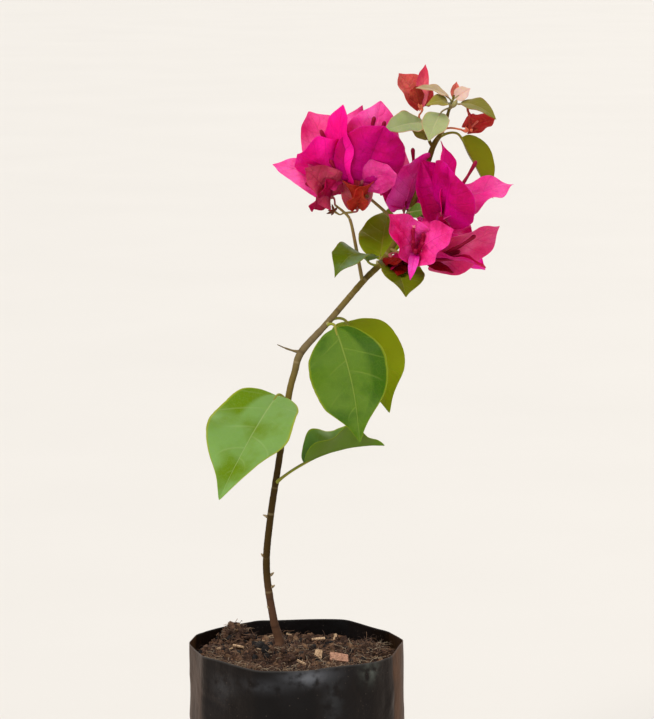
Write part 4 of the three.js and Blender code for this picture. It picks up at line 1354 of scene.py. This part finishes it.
def make_stem():
    """The trunk with its thorn, fork and the stubs of lost leaves."""
    bark = bark_finish("stem_bark")
    scar = chip_finish("leaf_scars", (164, 144, 112), (100, 82, 56))
    limbs = [STEM, THORN, SHORT_FORK, TIP_STEM]
    source = limb_source("stem", limbs + STUBS, [0] * len(limbs) + [1] * len(STUBS))
    piece = grown(
        "stem_bark", source, limb_tree("stem", [bark, scar]),
        Sides=22, Step=0.0007, Relief=0.0006, Grain=0.0012,
    )
    return keep(piece, "stem", "main_stem")


def head_limbs(heads):
    """Stalk and knob under each flower head."""
    limbs = []
    for at, axis, root, _ in heads:
        way = heading(*axis)
        below = Vector(at) - way * KNOB_REACH
        beyond = Vector(at) + way * 1.6
        knob = [(*at, KNOB_RADIUS), (*beyond, KNOB_RADIUS * 0.7)]
        limbs.append([(*root, PEDICEL_RADIUS), (*below, PEDICEL_RADIUS), *knob])
    return limbs


def make_twigs():
    """The flower twigs and the stalks of the heads."""
    twigs = [LOW_TWIG, HIGH_TWIG, DRY_TWIG] + LEFT_TWIGS + MIDDLE_TWIGS + RIGHT_TWIGS
    heads = head_limbs(LEFT_HEADS + MIDDLE_HEADS + RIGHT_HEADS)
    young = HIGH_LEFT_TWIGS + HIGH_RIGHT_TWIGS + head_limbs(HIGH_LEFT_HEADS + HIGH_RIGHT_HEADS)
    finishes = [
        stalk_finish("downy_twigs", (134, 118, 62), (150, 96, 72)),
        stalk_finish("flower_stalks", (160, 74, 84), (176, 100, 80)),
        stalk_finish("young_stalks", (224, 128, 88), (190, 120, 70)),
        stalk_finish("dry_star", (104, 48, 22), (146, 84, 46)),
    ]
    heart = Vector(DRY_TWIG[-1][:3])
    star = [
        [(*(heart + Vector(ray) * share), size) for share, size in ((0, 0.6), (0.5, 0.8), (1, 0.15))]
        for ray in DRY_STAR
    ]
    tones = [0] * len(twigs) + [1] * len(heads) + [2] * len(young) + [3] * len(star)
    source = limb_source("twigs", twigs + heads + young + star, tones)
    tree = limb_tree("twigs", finishes)
    piece = grown("flower_twigs", source, tree, Sides=12, Step=0.0006, Relief=0.00012)
    return keep(piece, "twig", "low_twig", "high_twig")


# Reach and radius along a bud in the elbow of a leaf
BUD_PROFILE = [(0.8, 0.7), (2.0, 1.0), (3.2, 0.7), (4.0, 0.15)]


def make_stalks():
    """Leaf stalks, and the buds in their elbows."""
    limbs, tones = [], []
    for shape in list(LEAVES.values()) + list(YOUNG_LEAVES.values()):
        length = shape[3]
        limbs.append(stalk_knots(shape, min(PETIOLE_RADIUS, 0.3 + length / 100)))
        tones.append(0 if length > GROWN_LEAF else 1)
        foot = Vector(shape[8])
        away = (Vector(shape[0]) - foot).normalized()
        tip = (away + Vector((0.3, -0.3, 1.2))).normalized()
        limbs.append([(*(foot + tip * reach), size) for reach, size in BUD_PROFILE])
        tones.append(1)
    for shape in TIP_LEAVES + [HIDDEN_LEAF]:
        limbs.append(stalk_knots(shape, TIP_STALK_RADIUS))
        tones.append(1)
    limbs.append(HAIRY_BUD)
    tones.append(1)
    finishes = [
        stalk_finish("leaf_stalks", (136, 140, 44), (152, 128, 60)),
        stalk_finish("young_leaf_stalks", (156, 150, 96), (170, 120, 100)),
    ]
    source = limb_source("stalks", limbs, tones)
    tree = limb_tree("stalks", finishes)
    piece = grown("leaf_stalks", source, tree, Sides=12, Step=0.0006, Relief=0.00008)
    return keep(piece, "leaf")


def make_leaves():
    """The grown leaves, each in its own tone of green."""
    draw = random.Random(3)
    tones = list(LEAF_TONES)
    finishes = [leaf_finish(tone.replace(" ", "_") + "_leaf", *LEAF_TONES[tone]) for tone in tones]
    blades = [
        leaf_blade(shape, draw.random(), tones, LEAF_PATCHES.get(name, NO_PATCH))
        for name, shape in LEAVES.items()
    ]
    source = blade_source("leaves", blades)
    piece = grown("green_leaves", source, blade_tree("leaves", finishes), Rows=78, Columns=45)
    return keep(piece, "leaf", *LEAVES)


def make_young_leaves():
    """The downy leaves of the tip, with the first red and pale bracts among them."""
    draw = random.Random(5)
    tones = list(YOUNG_TONES)
    finishes = [
        leaf_finish(tone.replace(" ", "_") + "_young_leaf", *YOUNG_TONES[tone], roughness=0.65, down=0.15)
        for tone in tones
    ]
    shapes = list(YOUNG_LEAVES.values()) + TIP_LEAVES + [HIDDEN_LEAF]
    blades = [leaf_blade(shape, draw.random(), tones) for shape in shapes]
    piece = grown(
        "young_leaves", blade_source("young_leaves", blades), blade_tree("young_leaves", finishes),
        Rows=44, Columns=25, Narrowing=0.35, Thickness=0.00035, RibRadius=0.00035, VeinDepth=0.00008,
        Crinkle=0.0003, CrinkleSize=0.006,
    )
    return keep(piece, "young_leaf", *YOUNG_LEAVES, "tip_leaves")


def make_bracts(name, heads, slot, node, seed, bracts):
    """The bracts of a group of heads, each in the finish of its own tone."""
    draw = random.Random(seed)
    tones = sorted({row[5] for head in heads for row in head[3]})
    finishes = [bracts[tone] for tone in tones]
    blades = []
    for at, axis, _, rows in heads:
        blades += [bract_blade(at, heading(*axis), row, draw.random(), tones) for row in rows]
    piece = grown(
        name, blade_source(name, blades), blade_tree(name, finishes),
        Rows=56, Columns=37, Thickness=0.00025, Belly=0.72, Fullness=0.68, Narrowing=0.45, NarrowFrom=0.8,
        Veins=BRACT_VEINS, VeinDepth=0.00022, RibRadius=0.0004, Crinkle=0.0013, CrinkleSize=0.011,
    )
    return keep(piece, slot, node)


# Share of the length and share of the radius along a flower tube and along the stub of a bud
TUBE_PROFILE = [
    (0, 0.5), (0.1, 0.7), (0.3, 1.0), (0.5, 0.85), (0.65, 0.72), (0.85, 0.95), (0.95, 1.0), (1, 0.45),
]
STUB_PROFILE = [(0, 0.7), (0.6, 1.0), (1, 0.4)]


def tube_knots(foot, tip, radius):
    """A flower tube: swollen below, narrow in the middle, closed and swollen again at its tip."""
    sag = Vector((0, 0, 0.05 * (tip - foot).length))
    return [
        (*(foot.lerp(tip, share) - sag * (4 * share * (1 - share))), radius * size)
        for share, size in TUBE_PROFILE
    ]


def bud_cluster(at, reach, draw):
    """Small fat stubs that stand out from one place."""
    stubs = []
    for _ in range(BUDS_EACH):
        way = heading(draw.uniform(-180, 180), draw.uniform(-50, 60))
        foot = Vector(at) + way * draw.uniform(0.2, 0.5) * reach
        stubs.append([(*(foot + way * share * reach * 0.6), 0.75 * size) for share, size in STUB_PROFILE])
    return stubs


def make_tubes():
    """A closed flower tube beside each bract, the long ones that stand out, and small buds."""
    draw = random.Random(41)
    limbs, tones = [], []
    grown_heads, young_heads = LEFT_HEADS + MIDDLE_HEADS + RIGHT_HEADS, HIGH_LEFT_HEADS + HIGH_RIGHT_HEADS
    for tone, heads in enumerate((grown_heads, young_heads)):
        for at, axis, _, rows in heads:
            way = heading(*axis)
            for turn, lean, length, *_ in rows:
                course = turned(way, beside(way, turn), math.radians(lean) * draw.uniform(0.3, 0.5))
                reach = min(TUBE_LENGTH, 0.42 * length) * draw.uniform(0.85, 1.05)
                foot = Vector(at) + way * 0.8
                limbs.append(tube_knots(foot, foot + course * reach, min(TUBE_RADIUS, reach * 0.1)))
                tones.append(tone)
    for foot, tip in LONG_TUBES:
        limbs.append(tube_knots(Vector(foot), Vector(tip), TUBE_RADIUS))
        tones.append(0)
    for tone, places in ((2, YOUNG_BUDS), (3, PALE_MOUTHS)):
        for at, reach in places:
            stubs = bud_cluster(at, reach, draw)
            limbs += stubs
            tones += [tone] * len(stubs)
    finishes = [
        stalk_finish("flower_tubes", (140, 0, 46), (172, 12, 70), down=0.03),
        stalk_finish("young_tubes", (208, 100, 84), (190, 78, 74), down=0.06),
        stalk_finish("young_buds", (224, 120, 90), (196, 84, 60), down=0.06),
        stalk_finish("pale_mouths", (244, 150, 160), (236, 96, 130), down=0.03),
    ]
    source = limb_source("tubes", limbs, tones)
    piece = grown(
        "flower_tubes", source, limb_tree("tubes", finishes),
        Sides=15, Step=0.0007, Relief=0.00008, Ribs=5, RibDepth=0.09,
    )
    return keep(piece, "blossom")


FLOOR_REACH = 30
SKY_COLOUR = (0.86, 0.9, 0.96, 1)
SKY_STRENGTH = 0.5
# Lights: where each shines to, how wide it is in degrees, its strength and colour
LIGHTS = [
    ("key_light", (0.75, 0.95, -1.0), 30, 2.3, (1.0, 0.97, 0.92)),
    ("fill_light", (-1.0, 0.8, -0.5), 60, 0.5, (0.95, 0.97, 1.0)),
    ("back_light", (-0.5, -1.0, -0.8), 25, 1.5, (1.0, 0.93, 0.84)),
]


def make_stage():
    """Plain pale floor, soft studio lights and the camera at the photograph's view."""
    scene = bpy.context.scene
    mesh = bpy.data.meshes.new("floor")
    corners = [(x * FLOOR_REACH, y * FLOOR_REACH, 0) for x, y in ((-1, -1), (1, -1), (1, 1), (-1, 1))]
    mesh.from_pydata(corners, [], [(0, 1, 2, 3)])
    mesh.materials.append(floor_finish())
    floor = bpy.data.objects.new("floor", mesh)
    scene.collection.objects.link(floor)
    for name, towards, spread, strength, colour in LIGHTS:
        data = bpy.data.lights.new(name, "SUN")
        data.angle = math.radians(spread)
        data.energy = strength
        data.color = colour
        light = bpy.data.objects.new(name, data)
        light.rotation_euler = Vector(towards).to_track_quat("-Z", "Y").to_euler()
        scene.collection.objects.link(light)
    world = bpy.data.worlds.new("studio")
    world.use_nodes = True
    sky = world.node_tree.nodes["Background"].inputs
    sky["Color"].default_value = SKY_COLOUR
    sky["Strength"].default_value = SKY_STRENGTH
    scene.world = world
    scene.view_settings.view_transform = "Standard"

    data = bpy.data.cameras.new("camera")
    data.sensor_width = SENSOR
    data.lens = FOCAL_PIXELS * SENSOR / max(PICTURE_WIDTH, PICTURE_HEIGHT)
    camera = bpy.data.objects.new("camera", data)
    back = Vector((0, -math.cos(CAMERA_PITCH), math.sin(CAMERA_PITCH)))
    camera.location = CAMERA_AIM + back * CAMERA_DISTANCE
    camera.rotation_euler = (math.pi / 2 - CAMERA_PITCH, 0, 0)
    scene.collection.objects.link(camera)
    scene.camera = camera


make_stage()
make_bag()
make_soil()
make_crumbs()
make_chips()
make_fibres()
make_stem()
make_twigs()
make_stalks()
make_leaves()
make_young_leaves()
bracts = {
    tone: bract_finish(tone.replace(" ", "_") + "_bract", *colours) for tone, colours in BRACT_TONES.items()
}
for seed, slot, side, heads in (
    (61, "blossom", "left", LEFT_HEADS), (62, "blossom", "middle", MIDDLE_HEADS),
    (63, "blossom", "right", RIGHT_HEADS), (64, "red_blossom", "high_left", HIGH_LEFT_HEADS),
    (65, "red_blossom", "high_right", HIGH_RIGHT_HEADS),
):
    make_bracts(side + "_bracts", heads, slot, "blossom_" + side, seed, bracts)
make_tubes()
